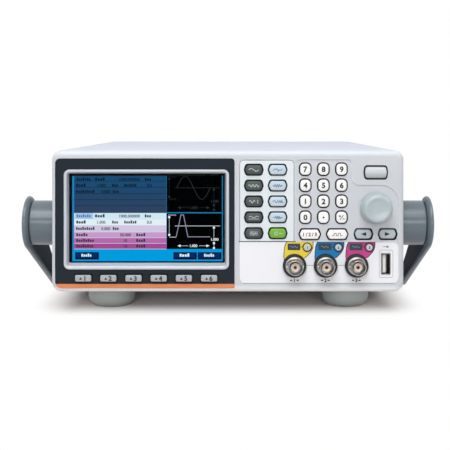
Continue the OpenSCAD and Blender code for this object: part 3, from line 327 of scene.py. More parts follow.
def roundedOutline(points, steps=6):
    count = len(points)
    outline = []
    for i, (x, z, radius) in enumerate(points):
        outline += cornerArc(points[i - 1][:2], (x, z), points[(i + 1) % count][:2], radius, steps)
    return outline


def rectOutline(width, height, radius, steps=6):
    x, z = width / 2, height / 2
    return roundedOutline([(-x, -z, radius), (x, -z, radius), (x, z, radius), (-x, z, radius)], steps)


def lozengeOutline(width, height, tip, radius):
    x, z = width / 2, height / 2
    return roundedOutline([(-x, 0, radius), (tip - x, -z, radius), (x - tip, -z, radius),
                           (x, 0, radius), (x - tip, z, radius), (tip - x, z, radius)])


def circleOutline(radius, steps=48):
    return arcPoints(radius, spread(0, 2 * math.pi, steps)[:-1])


def fillShape(outline):
    return list(outline), [tuple(range(len(outline)))]


def ribbonShape(path, width, closed=False, mitre=0.5):
    path = [Vector(p) for p in path]
    count = len(path)
    points = []
    for i, p in enumerate(path):
        before = path[i - 1] if i or closed else p
        after = path[(i + 1) % count] if i < count - 1 or closed else p
        ahead = (after - p).normalized() if after != p else (p - before).normalized()
        behind = (p - before).normalized() if before != p else ahead
        side = Vector((-(ahead + behind).y, (ahead + behind).x)).normalized()
        reach = width / 2 / max(side.dot(Vector((-ahead.y, ahead.x))), mitre)
        points += [tuple(p + side * reach), tuple(p - side * reach)]
    last, ends = count if closed else count - 1, 2 * count
    return points, [(2 * i, 2 * i + 1, (2 * i + 3) % ends, (2 * i + 2) % ends) for i in range(last)]


figure = {"tall": 0.7, "steps": 4, "least": 1e-6}    # share of the font size, curve steps, smallest face


def textShape(words, height, weight):
    curve = bpy.data.curves.new("words", "FONT")
    curve.body = words
    curve.size = height / figure["tall"]
    curve.offset = weight * height
    curve.resolution_u = figure["steps"]    # finer steps break bold figures
    holder = bpy.data.objects.new("words", curve)
    scene.collection.objects.link(holder)
    shown = holder.evaluated_get(bpy.context.evaluated_depsgraph_get())
    mesh = shown.to_mesh()
    points = [(v.co.x, v.co.y) for v in mesh.vertices]
    faces = [tuple(p.vertices) for p in mesh.polygons if p.area > figure["least"]]
    shown.to_mesh_clear()
    bpy.data.objects.remove(holder)
    bpy.data.curves.remove(curve)
    midX, midZ = [(min(p[axis] for p in points) + max(p[axis] for p in points)) / 2 for axis in (0, 1)]
    return [(x - midX, z - midZ) for x, z in points], faces


def movedShape(shape, x, z):
    return [(px + x, pz + z) for px, pz in shape[0]], shape[1]


# From here on places are in metres, in the frame of the solids
def placed(outline, x, y, z):
    return [(x + px * mm, y, z + pz * mm) for px, pz in outline]


def middleOf(low, high):
    return (low[0] + high[0]) / 2, (low[2] + high[2]) / 2


def addFlat(bm, shape, x, y, z, slot):
    made = [bm.verts.new(p) for p in placed(shape[0], x, y, z)]
    faces = [bm.faces.new([made[i] for i in corners]) for corners in shape[1]]
    for face in faces:
        face.normal_update()
        if face.normal.y > 0:
            face.normal_flip()
        face.material_index = slot
    return faces


def addRings(bm, rings, slots, closed=False, capLast=True):
    made = [[bm.verts.new(p) for p in ring] for ring in rings]
    pairs = list(zip(made, made[1:])) + ([(made[-1], made[0])] if closed else [])
    paint = [slots] * len(pairs) if isinstance(slots, int) else slots
    for (low, high), slot in zip(pairs, paint):
        for i in range(len(low)):
            j = (i + 1) % len(low)
            bm.faces.new((low[i], low[j], high[j], high[i])).material_index = slot
    if not closed:
        bm.faces.new(list(reversed(made[0]))).material_index = paint[0]
    if capLast and not closed:
        bm.faces.new(made[-1]).material_index = paint[-1]
    return made[-1]


def latheRings(profile, centre, outward, steps):
    x, y, z = centre
    return [placed(circleOutline(radius, steps), x, y + outward * reach * mm, z)
            for radius, reach in profile]


def addObject(name, bm, materialKeys, body, replaced=(), sharp=32, recalc=True):
    if recalc:
        bmesh.ops.recalc_face_normals(bm, faces=bm.faces)
    mesh = bpy.data.meshes.new(name)
    bm.to_mesh(mesh)
    bm.free()
    for key in materialKeys:
        mesh.materials.append(stuff[key])
    mesh.shade_smooth()
    mesh.set_sharp_from_angle(angle=math.radians(sharp))
    piece = bpy.data.objects.new(name, mesh)
    scene.collection.objects.link(piece)
    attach(piece, body)
    if replaced:
        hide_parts(*replaced)


def paintNode(name, keys, choose=None):
    mesh = nodes[name].data
    mesh.materials.clear()
    for key in keys:
        mesh.materials.append(stuff[key])
    for face in mesh.polygons:
        face.material_index = choose(face) if choose else 0


# Solids that keep their shape get their finish here
plainNodes = {
    "upper_cover": "shell", "lower_case": "shell", "accent_strip": "strip", "display_lens": "window",
    "lcd_module": "lcd", "keypad_mats": "rubber", "key_boards": "board", "main_board": "board",
    "power_supply": "board", "rear_panel": "rear", "feet": "foot", "handle_hubs": "handle",
    "fan_frame": "black", "fan_rotor": "black", "screws": "zinc",
}
for name, key in plainNodes.items():
    paintNode(name, [key])
keyBoxes = [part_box(name) for name in nodes
            if name.startswith(("key_", "softkey", "output_key", "power_button")) and name != "key_boards"]
wallTilt = 0.5    # a wall faces the front or the back by less than this


# Walls of the key openings take the black rubber: painted shade for the gap round each key
def keyWall(face):
    if abs(face.normal.y) > wallTilt:
        return 0
    x, z = face.center.x, face.center.z
    return int(any(low.x < x < high.x and low.z < z < high.z for low, high in keyBoxes))


for name, key in (("front_frame", "frame"), ("control_overlay", "overlay"), ("display_panel", "panel")):
    paintNode(name, [key, "rubber"], keyWall)

blades = {"places": ((-7, -2), (0, 2), (7, -2)), "reachX": 1.2, "reachZ": 2.2, "length": 14.5}
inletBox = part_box("mains_inlet")
inletMiddle = (inletBox[0] + inletBox[1]) / 2


def inletPart(face):
    offset = (face.center - inletMiddle) / mm
    onBlade = any(abs(offset.x - x) < blades["reachX"] and abs(offset.z - z) < blades["reachZ"]
                  for x, z in blades["places"])
    return int(onBlade and face.center.y > inletBox[1].y - blades["length"] * mm)


paintNode("mains_inlet", ["black", "nickel"], inletPart)

hostPort = {"x": 98.75, "z": 17.7, "tongue": (-2.0, 0.4), "half": 5.8, "deep": 12.9, "shell": (2.7, 6.4),
            "rim": 0.5}


# Inside walls of the port's shell take the black: painted shade in its hollow; the tongue and the front rim keep
# their own colours
def portPart(face):
    x, z = face.center.x / mm - hostPort["x"], face.center.z / mm - caseZ - hostPort["z"]
    depth = (face.center.y - frontY) / mm
    if depth > hostPort["deep"] or abs(x) > hostPort["shell"][0] or abs(z) > hostPort["shell"][1]:
        return 0
    if hostPort["tongue"][0] < x < hostPort["tongue"][1] and abs(z) < hostPort["half"]:
        return 1
    return 2 if depth > -hostPort["rim"] and abs(face.normal.y) < wallTilt else 0


paintNode("data_sockets", ["nickel", "tongue", "black"], portPart)
print("solids painted")

# Keys: a flange and skirt in black as painted shade of the gap, a crowned cap with a rounded edge, its legend, and
# a dark line round its opening as painted shade
lozenge = {"tip": 1.1, "corner": 1.5, "edge": 0.7}
keyKinds = {
    "soft": {"corner": 0.9, "edge": 0.45, "crown": 0.06, "plastic": "silverKey", "ink": "blackInk",
             "line": False, "names": [f"softkey_{i}" for i in range(1, 7)]},
    "slate": {**lozenge, "crown": 0.16, "plastic": "slateKey", "ink": "paleInk",
              "names": ["key_waveform", "key_frequency", "key_amplitude", "key_offset", "key_utility"]},
    "blue": {**lozenge, "crown": 0.12, "plastic": "blueKey", "ink": "blueInk",
             "names": ["key_arb", "key_modulation", "key_sweep", "key_burst"]},
    "digit": {"corner": 2.3, "edge": 0.6, "crown": 0.12, "plastic": "whiteKey", "ink": "blackInk",
              "names": [f"key_{name}" for name in (*range(10), "point", "sign")]},
    "green": {**lozenge, "crown": 0.12, "plastic": "greenKey", "ink": "paleInk", "names": ["key_preset"]},
    "wide": {"tip": 1.5, "corner": 1.2, "edge": 0.6, "crown": 0.1, "plastic": "whiteKey", "ink": "redInk",
             "names": ["key_channel", "key_pulse"]},
    "arrow": {**lozenge, "edge": 0.6, "crown": 0.1, "plastic": "greyKey", "ink": "blackInk",
              "names": ["key_left", "key_right"]},
    "power": {"tip": 0.6, "corner": 1.6, "edge": 0.8, "crown": 1.5, "barrel": True, "plastic": "power",
              "ink": "greyInk", "names": ["power_button"]},
    "output": {"corner": None, "edge": 0.35, "crown": 0.06, "plastic": "power", "ink": "darkInk",
               "line": False, "names": [f"output_key_{i}" for i in range(1, 4)]},
}
keyBase = {"flange": 1.15, "thick": 0.9, "skirt": 1.5, "edgeSteps": 4, "faceRings": (0.75, 0.5, 0.25),
           "legendLift": 0.02}
gapShadeLine = {"gap": 0.6, "width": 0.32, "lift": 0.03, "lookFrom": 10}
fronts = [BVHTree.FromPolygons([v.co for v in mesh.vertices], [f.vertices for f in mesh.polygons])
          for mesh in (nodes["front_frame"].data, nodes["control_overlay"].data)]


def surfaceAt(x, z):
    hits = [tree.ray_cast((x, frontY - gapShadeLine["lookFrom"] * mm, z), (0, 1, 0))[0] for tree in fronts]
    return min(hit.y for hit in hits if hit)


def keyOutline(kind, width, height, grow):
    if kind["corner"] is None:
        return circleOutline(width / 2 + grow)
    if "tip" in kind:
        return lozengeOutline(width + 2 * grow, height + 2 * grow, kind["tip"], kind["corner"] + grow / 2)
    return rectOutline(width + 2 * grow, height + 2 * grow, kind["corner"] + grow)


# A crowned face falls away to all sides, a barrel face only up and down
def crownedRing(kind, height, outline, share, x, y, z):
    falls = [(2 * pz / height) ** 2 if kind.get("barrel") else share ** 2 for _, pz in outline]
    return [(px, py + kind["crown"] * fall * mm, pz)
            for (px, py, pz), fall in zip(placed(outline, x, y, z), falls)]


# A wave over its width: pace bends its phase and swell its height
def wavePath(width, height, cycles, count=48, pace=lambda t: t, swell=lambda t: 1):
    return [(width * (t - 0.5), height / 2 * swell(t) * math.sin(2 * math.pi * cycles * pace(t)))
            for t in spread(0, 1, count)]


mark = {"line": 0.36, "thin": 0.28, "bold": 0.45, "slash": 0.4, "square": 0.4, "digit": 3.2, "output": 1.5,
        "menu": 2.8, "channel": 2.0, "weight": 0.055}
resetTurn = {"x": -1.0, "radius": 0.9, "ends": (0.9, 6.15), "steps": 15}
resetAngles = spread(*resetTurn["ends"], resetTurn["steps"])
resetPath = arcPoints(resetTurn["radius"], resetAngles, resetTurn["x"])
steppedPath = [(-2.9, -0.5), (-2.0, 0.6), (-1.2, 0.2), (-0.5, 0.9), (0.3, -0.9), (1.0, 0.1), (1.8, -0.4),
               (2.9, 0.7)]
pulsePath = [(-3.3, -0.7), (-2.0, -0.7), (-2.0, 0.7), (-0.7, 0.7), (-0.7, -0.7), (0.6, -0.7), (0.6, 0.7),
             (1.9, 0.7), (1.9, -0.7), (3.3, -0.7)]
chirpPath = wavePath(6.4, 1.5, 1, 60, pace=lambda t: (1 + 3 * t) * t)
swellPath = wavePath(6.4, 1.8, 5, 72, swell=lambda t: math.sin(math.pi * t))


def lineMark(path, x=0, z=0, width=mark["line"]):
    return movedShape(ribbonShape(path, width), x, z)


def squareMark(x, z):
    half = mark["square"]
    return movedShape(fillShape([(-half, -half), (half, -half), (half, half), (-half, half)]), x, z)


legends = {
    "key_waveform": [lineMark(wavePath(6.4, 1.7, 1))],
    "key_frequency": [lineMark(wavePath(6.6, 1.5, 3))],
    "key_amplitude": [lineMark(wavePath(3.6, 1.6, 1.5), -1),
                      lineMark([(2.4, -0.9), (2.4, 0.9)], width=mark["thin"]),
                      fillShape([(1.9, 0.5), (2.9, 0.5), (2.4, 1.2)]),
                      fillShape([(1.9, -0.5), (2.4, -1.2), (2.9, -0.5)])],
    "key_offset": [lineMark([(-3.3, -0.9), (3.3, -0.9)], width=mark["thin"]),
                   lineMark(wavePath(6.0, 1.0, 1.5), 0, 0.35)],
    "key_utility": [lineMark([(-2.6, z), (2.6, z)], width=mark["thin"]) for z in (-0.9, 0, 0.9)]
                   + [squareMark(x, z) for x, z in ((-1.2, 0.9), (1.0, 0), (-0.2, -0.9))],
    "key_arb": [lineMark(steppedPath)],
    "key_modulation": [lineMark(swellPath)],
    "key_sweep": [lineMark(chirpPath)],
    "key_burst": [lineMark([(-3.1, 0), (-1.6, 0)]), lineMark(wavePath(3.2, 1.6, 3)),
                  lineMark([(1.6, 0), (3.1, 0)])],
    "key_preset": [lineMark(resetPath), fillShape([(-0.9, 0.5), (0.1, 0.5), (-0.3, 1.2)]),
                   lineMark([(0.8, 0), (2.8, 0)])],
    "key_channel": [textShape("1 / 2 / 3", mark["channel"], mark["weight"])],
    "key_pulse": [lineMark(pulsePath)],
    "key_left": [fillShape([(1.7, -1.2), (1.7, 1.2), (-1.7, 0)])],
    "key_right": [fillShape([(-1.7, -1.2), (1.7, 0), (-1.7, 1.2)])],
    "key_point": [fillShape(circleOutline(0.6, 16))],
    "key_sign": [lineMark([(-0.7, 0), (0.7, 0)], -1.1, 0.8, mark["bold"]),
                 lineMark([(0, -0.7), (0, 0.7)], -1.1, 0.8, mark["bold"]),
                 lineMark([(-1.1, -1.5), (1.1, 1.5)], width=mark["slash"]),
                 lineMark([(0.5, -0.9), (1.9, -0.9)], width=mark["bold"])],
}
for i in range(1, 7):
    legends[f"softkey_{i}"] = [fillShape([(-2.4, -0.8), (-0.6, -0.8), (-1.5, 0.8)]),
                               movedShape(textShape(str(i), mark["menu"], mark["weight"]), 1.2, 0)]
for start, numbers, size in (("output_key_", range(1, 4), "output"), ("key_", range(10), "digit")):
    for i in numbers:
        legends[f"{start}{i}"] = [textShape(str(i), mark[size], mark["weight"])]

gapShadeMesh = bmesh.new()
for name, kind in [(name, kind) for kind in keyKinds.values() for name in kind["names"]]:
    low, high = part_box(name)
    x, z = middleOf(low, high)
    flange, edge = keyBase["flange"], kind["edge"]
    width, height = [(high[axis] - low[axis]) / mm - 2 * flange for axis in (0, 2)]
    shoulder, skirt = high.y - keyBase["thick"] * mm, low.y + keyBase["skirt"] * mm
    rings = [placed(keyOutline(kind, width, height, grow), x, y, z)
             for grow, y in ((flange, high.y), (flange, shoulder), (0, shoulder), (0, skirt))]
    for angle in spread(0, math.pi / 2, keyBase["edgeSteps"]):
        outline = keyOutline(kind, width, height, -edge * (1 - math.cos(angle)))
        rings.append(crownedRing(kind, height, outline, 1, x, low.y + edge * mm * (1 - math.sin(angle)), z))
    face = keyOutline(kind, width, height, -edge)
    for share in keyBase["faceRings"]:
        outline = [(px * share, pz * share) for px, pz in face]
        rings.append(crownedRing(kind, height, outline, share, x, low.y, z))
    bm = bmesh.new()
    # The flange and skirt take the black rubber: painted shade in the gap round the key
    addRings(bm, rings, [2] * 3 + [0] * (len(rings) - 4))    # flange and skirt in rubber, then the cap
    bmesh.ops.recalc_face_normals(bm, faces=bm.faces)
    for shape in legends.get(name, []):
        addFlat(bm, shape, x, low.y - keyBase["legendLift"] * mm, z, 1)
    addObject(name + ".cap", bm, [kind["plastic"], kind["ink"], "rubber"], name, [name],
              recalc=False)
    # A dark line round the opening, on the surface that the key comes through: painted shade of the gap
    if kind.get("line", True):
        reach = gapShadeLine["gap"] + gapShadeLine["width"] / 2
        y = surfaceAt(x + (width / 2 + reach) * mm, z) - gapShadeLine["lift"] * mm
        ring = ribbonShape(keyOutline(kind, width, height, reach), gapShadeLine["width"], True)
        addFlat(gapShadeMesh, ring, x, y, z, 0)
addObject("front_frame.key_gap_shade", gapShadeMesh, ["gapShadeInk"], "case",
          recalc=False)
print("keys made")

# Dial: a tapered skirt, a round shoulder and a slightly dished face, on its metal shaft
dial = {"profile": ((0.5, 0.8), (9.5, 0.8), (9.8, 1.1), (9.8, 2.2), (9.65, 3.2), (9.2, 8.6), (9.0, 9.6),
                    (8.5, 10.5), (7.9, 11.0), (7.3, 11.25), (6.8, 11.3), (6.3, 11.2), (5.6, 10.95),
                    (3.0, 10.75), (0.4, 10.7)),
        "shaft": ((0.3, -13.4), (3.0, -13.4), (3.0, 0.85), (0.3, 0.85)),
        "steps": 96, "shaftSteps": 32, "sharp": 40}
x, z = middleOf(*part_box("knob"))
bm = bmesh.new()
addRings(bm, latheRings(dial["profile"], (x, frontY, z), -1, dial["steps"]), 0)
addRings(bm, latheRings(dial["shaft"], (x, frontY, z), -1, dial["shaftSteps"]), 1)
addObject("knob.dial", bm, ["knob", "zinc"], "knob", ["knob"], dial["sharp"])

# Display surround: a rounded lip that slopes down to the picture, as inset, depth and extra at the bottom
surround = {"profile": ((0, -0.3, 0), (0, -0.55, 0), (0.12, -0.75, 0), (0.35, -0.88, 0), (0.7, -0.9, 0),
                        (1.25, -0.9, 0), (1.6, -0.78, 0.05), (1.85, -0.5, 0.15), (2.7, 3.4, 1),
                        (1.55, 3.4, 0), (1.55, -0.3, 0)),
            "corner": 3.5, "least": 0.6, "steps": 10, "sharp": 24}
low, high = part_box("display_surround")
width, height = (high.x - low.x) / mm, (high.z - low.z) / mm
surroundX, surroundZ = middleOf(low, high)
bm = bmesh.new()
rings = []
for inset, depth, extra in surround["profile"]:
    radius = max(surround["corner"] - inset, surround["least"])
    outline = rectOutline(width - 2 * inset, height - 2 * inset - extra, radius, surround["steps"])
    rings.append(placed(outline, surroundX, frontY + depth * mm, surroundZ + extra / 2 * mm))
addRings(bm, rings, 0, closed=True)
addObject("display_surround.bezel", bm, ["silver"], "case", ["display_surround"],
          surround["sharp"])
print("dial and surround made")

# Sockets: shell with bayonet lugs, collar, insulator, contact and nut, as radius and reach
socket = {
    "shell": ((0.4, -11), (4.8, -11), (4.8, 0), (5.75, 0), (5.75, 3.3), (5.55, 3.55), (5.1, 3.6), (4.8, 3.8),
              (4.8, 11.9), (4.6, 12.4), (4.45, 12.5), (4.25, 12.5), (4.05, 12.25), (4.05, 3.0), (0.4, 3.0)),
    "collar": ((5.8, 0), (7.1, 0), (7.35, 0.25), (7.35, 2.4), (7.1, 2.9), (6.6, 3.1), (5.8, 3.1)),
    "insulator": ((1.15, 3.02), (2.7, 3.02), (2.7, 8.8), (2.5, 9.0), (1.3, 9.0), (1.15, 8.85)),
    "contact": ((0.68, 3.02), (1.1, 3.02), (1.1, 8.75), (0.95, 8.9), (0.68, 8.9)),
    "core": ((0.1, 3.02), (0.66, 3.02), (0.66, 3.9), (0.1, 3.9)),
    "lugAt": 7.5, "lug": ((1.0, 4.3), (1.0, 5.25), (0.85, 5.4)),
    "frontNut": ((7, -3.2), (7, -5.7)), "rearNut": ((7, -2.0), (7, -4.5)),
    "steps": 64, "smallSteps": 24, "nutSides": 6, "sharp": 30,
}
outputs = [middleOf(*openingBox[f"output_socket_{i}"]) for i in (1, 2, 3)]
rearSockets = [middleOf(*openingBox[f"rear_socket_{i}"]) for i in (1, 2, 3, 4)]
bm = bmesh.new()
for places, y, outward, nut in ((outputs, frontY, -1, "frontNut"), (rearSockets, rearY, 1, "rearNut")):
    for x, z in places:
        centre = (x, y, z)
        addRings(bm, latheRings(socket["shell"], centre, outward, socket["steps"]), 0)
        for piece, slot in (("collar", 1), ("insulator", 2), ("contact", 3)):
            addRings(bm, latheRings(socket[piece], centre, outward, socket["steps"]), slot, closed=True)
        # A black core down the contact's hole: painted shade
        addRings(bm, latheRings(socket["core"], centre, outward, socket["smallSteps"]), 1)
        lugY = y + outward * socket["lugAt"] * mm
        for side in (-1, 1):
            addRings(bm, [[(x + side * reach * mm, lugY + outward * along * mm, z + up * mm)
                           for along, up in circleOutline(radius, socket["smallSteps"])]
                          for radius, reach in socket["lug"]], 0)
        addRings(bm, latheRings(socket[nut], centre, outward, socket["nutSides"]), 0)
addObject("bnc_sockets.fittings", bm, ["nickel", "collar", "insulator", "gold"], "case", ["bnc_sockets"],
          socket["sharp"])
print("sockets made")

# Handle: two arms with domed heads and pivot caps, and a round grip, folded as the solid is
handle = {"fold": 33.25, "drawIn": 3, "length": 85, "headR": 17.4, "endR": 5.9, "least": 0.3, "hubR": 14.5,
          "clear": 1, "pinReach": 3.0, "play": 0.2,
          "profile": ((2.7, 0.0), (2.2, 0.08), (1.3, 0.5), (0.55, 1.1), (0.12, 1.8), (0, 2.5), (0.25, 3.1),
                      (0.9, 3.65), (2.2, 4.15), (4.2, 4.5), (5.6, 4.65)),
          "cap": ((7.6, 4.0), (7.6, 4.85), (7.3, 5.05), (6.6, 5.1), (2.0, 5.12), (0.4, 5.12)),
          "gripInto": 0.8, "gripEnds": ((0, 6.2), (4, 5.5)), "grip": ((60, 5.5), (59.4, 5.45), (58, 5.2)),
          "armSteps": 40, "capSteps": 48, "gripSteps": 32, "sharp": 28}
pivotY, pivotZ = [jointAt["handle_pivot"][axis] / mm for axis in (1, 2)]
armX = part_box("handle_hubs")[1].x / mm - handle["pinReach"] + handle["play"]


def armOutline(inset):
    big, small = handle["headR"] - inset, max(handle["endR"] - inset, handle["least"])
    length, steps = handle["length"], handle["armSteps"]
    lean = math.acos((big - small) / length)
    head, end = spread(lean, 2 * math.pi - lean, steps), spread(-lean, lean, steps)
    return arcPoints(big, head) + arcPoints(small, end, length)


def drawIn(along):
    straight = handle["hubR"] + handle["clear"]    # the arm keeps straight past the hub
    return handle["drawIn"] * max(along - straight, 0) / (handle["length"] - straight)


def handlePoint(x, along, across):
    turn = math.radians(handle["fold"])
    y = pivotY + along * math.cos(turn) + across * math.sin(turn)
    z = pivotZ - along * math.sin(turn) + across * math.cos(turn)
    return (x * mm, y * mm, z * mm)


bm = bmesh.new()
for side in (-1, 1):
    rings = [[handlePoint(side * (armX + rise - drawIn(along)), along, across)
              for along, across in armOutline(inset)] for inset, rise in handle["profile"]]
    # The inner face of each arm takes the darker material: painted shade
    addRings(bm, rings, [1] + [0] * (len(rings) - 2))
    addRings(bm, [[handlePoint(side * (armX + rise), *spot)
                   for spot in circleOutline(radius, handle["capSteps"])]
                  for radius, rise in handle["cap"]], 0)
# Only the arms are coarse inside and painted darker as shade, from under the hubs on: the heads are cut off and
# keep the plain finish
cutAt = Vector((0, pivotY, pivotZ - handle["hubR"])) * mm
down = Vector((0, 0, -1))
inside = [face for face in bm.faces if face.material_index == 1]
parts = {part for face in inside for part in (*face.verts, *face.edges)}
bmesh.ops.bisect_plane(bm, geom=inside + list(parts), plane_co=cutAt, plane_no=down)
for face in bm.faces:
    if (face.calc_center_median() - cutAt).dot(down) < 0:
        face.material_index = 0
gripEnd = armX - handle["drawIn"] + handle["gripInto"]
half = [(gripEnd - reach, radius) for reach, radius in handle["gripEnds"]] + list(handle["grip"])
addRings(bm, [[handlePoint(x, handle["length"] + along, across)
               for along, across in circleOutline(radius, handle["gripSteps"])]
              for x, radius in [(-x, radius) for x, radius in half] + half[::-1]], 0)
addObject("handle.bail", bm, ["handle", "armInsideShade"], "handle", ["handle"],
          handle["sharp"])
print("handle made")

# Printing on the white film, in millimetres above the bottom of the case, the flags from their sockets
printing = {"lift": 0.03, "step": 0.02, "pastKeys": 3.8, "inset": 0.2, "corner": 2.5, "border": 0.3,
            "footRise": 0.3, "topLine": 31.6, "topWidth": 0.5, "topPast": (0.6, 1), "number": 2.1,
            "numberDrop": 9.3, "dash": (1.3, 2.7), "dashWidth": 0.75, "linkFrom": 7.5, "linkRise": 0.1,
            "linkWidth": 0.3, "port": (98.9, 17.7), "ring": (8.6, 17.2, 1.4), "ringWidth": 0.25,
            "portMark": (98.6, 28.4), "portLine": [(-1.8, 0), (0.6, 0)], "portLineWidth": 0.35,
            "portBlock": [(0.4, -0.6), (1.9, -0.6), (1.9, 0.6), (0.4, 0.6)]}
flag = {
    "left": [(-4.6, 14.8), (-5.6, 13.4), (-6.15, 11.4), (-6.45, 8.5), (-6.6, 5.5), (-6.4, 3.0)],
    "arcR": 7.0, "arcEnds": (154, 40), "arcSteps": 19,
    "right": [(6.25, 4.6), (7.6, 5.6), (8.9, 6.9), (10.0, 8.2), (10.9, 9.7), (11.45, 11.2), (11.65, 12.8),
              (11.65, 14.8)],
    "edge": 0.45, "patch": (-0.3, 11.6), "patchSize": (7.3, 3.6), "patchEdge": 0.5,
    "patchCorners": (0.4, 0.2), "wave": (4.6, 1.1, 2), "waveWidth": 0.24, "joinTo": 2.5, "joinWidth": 0.4,
    "ringR": 2.7, "ringWidth": 0.65,
}
printMesh = bmesh.new()
printKeys = ["blackInk", "greyInk", "labelInk", "darkInk", *flagColours]


def printShape(shape, x, z, layer, key):
    y = frontY - (printing["lift"] + printing["step"] * layer) * mm
    return addFlat(printMesh, shape, x, y, z, printKeys.index(key))


def printLine(path, width, x, z, layer, key, closed=False):
    printShape(ribbonShape(path, width, closed), x, z, layer, key)


low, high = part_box("control_overlay")
base = caseZ * mm
topLine, corner = printing["topLine"], printing["corner"]
filmLeft, filmRight = low.x / mm, high.x / mm
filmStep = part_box("key_arb")[1].x / mm + printing["pastKeys"]    # right end of the part round the keys
topEnds = (filmLeft - printing["topPast"][0], filmStep + printing["topPast"][1])
# A dark line along the step at the top of the key area and a grey border along the film's edges round it are
# painted shade of those edges; a thin grey line runs along the foot of the film
printLine([(x, topLine) for x in topEnds], printing["topWidth"], 0, base, 1, "darkInk")
left, right = filmLeft + printing["inset"], filmStep - printing["inset"]
top, foot = high.z / mm - caseZ - printing["inset"], low.z / mm - caseZ + printing["footRise"]
border = [(left, topLine), *cornerArc((left, 0), (left, top), (right, top), corner),
          *cornerArc((left, top), (right, top), (right, 0), corner), (right, topLine)]
for path in (border, [(filmLeft + corner, foot), (filmRight - corner, foot)]):
    printLine(path, printing["border"], 0, base, 0, "greyInk")
arcAngles = [math.radians(degrees) for degrees in spread(*flag["arcEnds"], flag["arcSteps"])]
arc = arcPoints(flag["arcR"], arcAngles)
for i, ((x, z), colour) in enumerate(zip(outputs, flagColours), 1):
    outline = flag["left"] + arc + flag["right"]
    bmesh.ops.triangulate(printMesh, faces=printShape(fillShape(outline), x, z, 0, colour))
    for side in ("left", "right"):
        printLine(flag[side], flag["edge"], x, z, 1, "darkInk")
    patchX, patchZ = flag["patch"]
    wide, tall = flag["patchSize"]
    for layer, edge, key in ((1, flag["patchEdge"], "darkInk"), (2, 0, "labelInk")):
        patch = rectOutline(wide + edge, tall + edge, flag["patchCorners"][layer - 1])
        printShape(movedShape(fillShape(patch), patchX, patchZ), x, z, layer, key)
    printShape(lineMark(wavePath(*flag["wave"]), patchX, patchZ, flag["waveWidth"]), x, z, 3, "greyInk")
    ringX, ringZ = middleOf(*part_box(f"output_key_{i}"))
    join = [(patchX + wide / 2, patchZ), ((ringX - x) / mm - flag["joinTo"], patchZ)]
    printLine(join, flag["joinWidth"], x, z, 1, "darkInk")
    printLine(circleOutline(flag["ringR"]), flag["ringWidth"], ringX, ringZ, 2, "darkInk", True)
    drop = -printing["numberDrop"]
    number = textShape(str(i), printing["number"], mark["weight"])
    printShape(movedShape(number, 0, drop), x, z, 0, "blackInk")
    for side in (-1, 1):
        dash = [(side * end, drop) for end in printing["dash"]]
        printLine(dash, printing["dashWidth"], x, z, 0, "blackInk")
for (fromX, z), (toX, _) in zip(outputs, outputs[1:]):
    linkEnds = (fromX / mm + printing["linkFrom"], toX / mm - printing["linkFrom"])
    printLine([(x, printing["linkRise"]) for x in linkEnds], printing["linkWidth"], 0, z, 0, "greyInk")
portRing = ribbonShape(rectOutline(*printing["ring"]), printing["ringWidth"], True)
portLine = ribbonShape(printing["portLine"], printing["portLineWidth"])
portBlock = fillShape(printing["portBlock"])
for shape, spot in ((portRing, "port"), (portLine, "portMark"), (portBlock, "portMark")):
    printShape(movedShape(shape, *printing[spot]), 0, base, 0, "greyInk")
addObject("control_overlay.printing", printMesh, printKeys, "case", recalc=False)
print("printing made")

# Picture on the display, drawn in layers on a grid of about 0.2 mm: columns to the right, rows down
picture = {
    "width": 96.4, "height": 54.85, "columns": 483, "rows": 272, "depth": 4.92, "step": 0.03,
    "shift": (1.0, 0.72), "weight": 0.03, "number": 9,
    "panes": ((0, 0, 483, 272, 0, "edge"), (0, 235, 483, 272, 1, "bar"), (0, 3, 5, 272, 1, "edge"),
              (473, 0, 483, 272, 1, "bar"), (298, 3, 472.5, 119.5, 1, "black"),
              (298, 122.5, 472.5, 234, 1, "black"), (9, 122, 66, 140, 2, "chosen")),
    "rowEnds": (6, 297), "firstMarks": (14, 60),
    "rowMarks": ((0, 72, 104), (0, 229, 250), (1, 13, 44), (1, 126, 146), (1, 164, 204), (2, 12, 72),
                 (2, 128, 148), (3, 13, 50), (3, 202, 232), (4, 13, 70), (4, 202, 232), (5, 13, 68),
                 (5, 202, 232)),
    "rowNumbers": ((0, 181, "1000.000000"), (1, 92, "1.000"), (1, 243, "0.0"), (2, 106, "0.000"),
                   (3, 168, "50.000"), (4, 168, "10"), (5, 168, "10")),
}
marks = {"wide": 6.5, "gap": 1.8, "foot": 4, "tall": (9, 7, 7, 10, 7)}
softPane = {"ends": ((9, 84), (319, 393), (396, 471)), "edge": (244, 267), "face": (247, 261),
            "inset": (3, 6), "marks": (20, 22), "middle": 254}
rowBlocks = {
    "up": {"edges": (3, 22, 41, 61, 80, 99, 120.5), "line": "rowLine", "width": 2, "first": "dimText",
           "text": "dimText", "filled": 3, "drop": 4},
    "low": {"edges": (121.5, 141, 160, 181, 199, 216.5, 234), "line": "lowLine", "width": 1.2,
            "first": "chosenText", "text": "text", "filled": 6, "drop": 0},
}
graph = {
    "tops": ((0, "dim"), (119, "mark")), "dot": 3, "number": 8,
    "lines": ((324, 43, 467, 43, 1.2), (303, 9, 328, 9, 1.2), (306, 78, 328, 78, 1.2),
              (306, 12, 306, 74, 0.9), (447, 45, 447, 113, 0.9), (332, 105, 433, 105, 0.9)),
    "dots": ((306, 15.5), (306, 71), (447, 48.5), (447, 97), (447, 112)),
    "heads": (((332, 105), (342, 109), (342, 101)), ((433, 105), (423, 101), (423, 109))),
    "cleared": ((366, 99, 400, 111), (430, 79, 470, 91)),    # each holds a number
    "sine": (105, -72, 1), "sineAt": (382.5, 43), "sineWidth": 1.8,
    "pulse": [(328, 196), (343, 127.5), (351, 127.5), (365, 196), (435, 196)], "pulseWidth": 2.0,
}
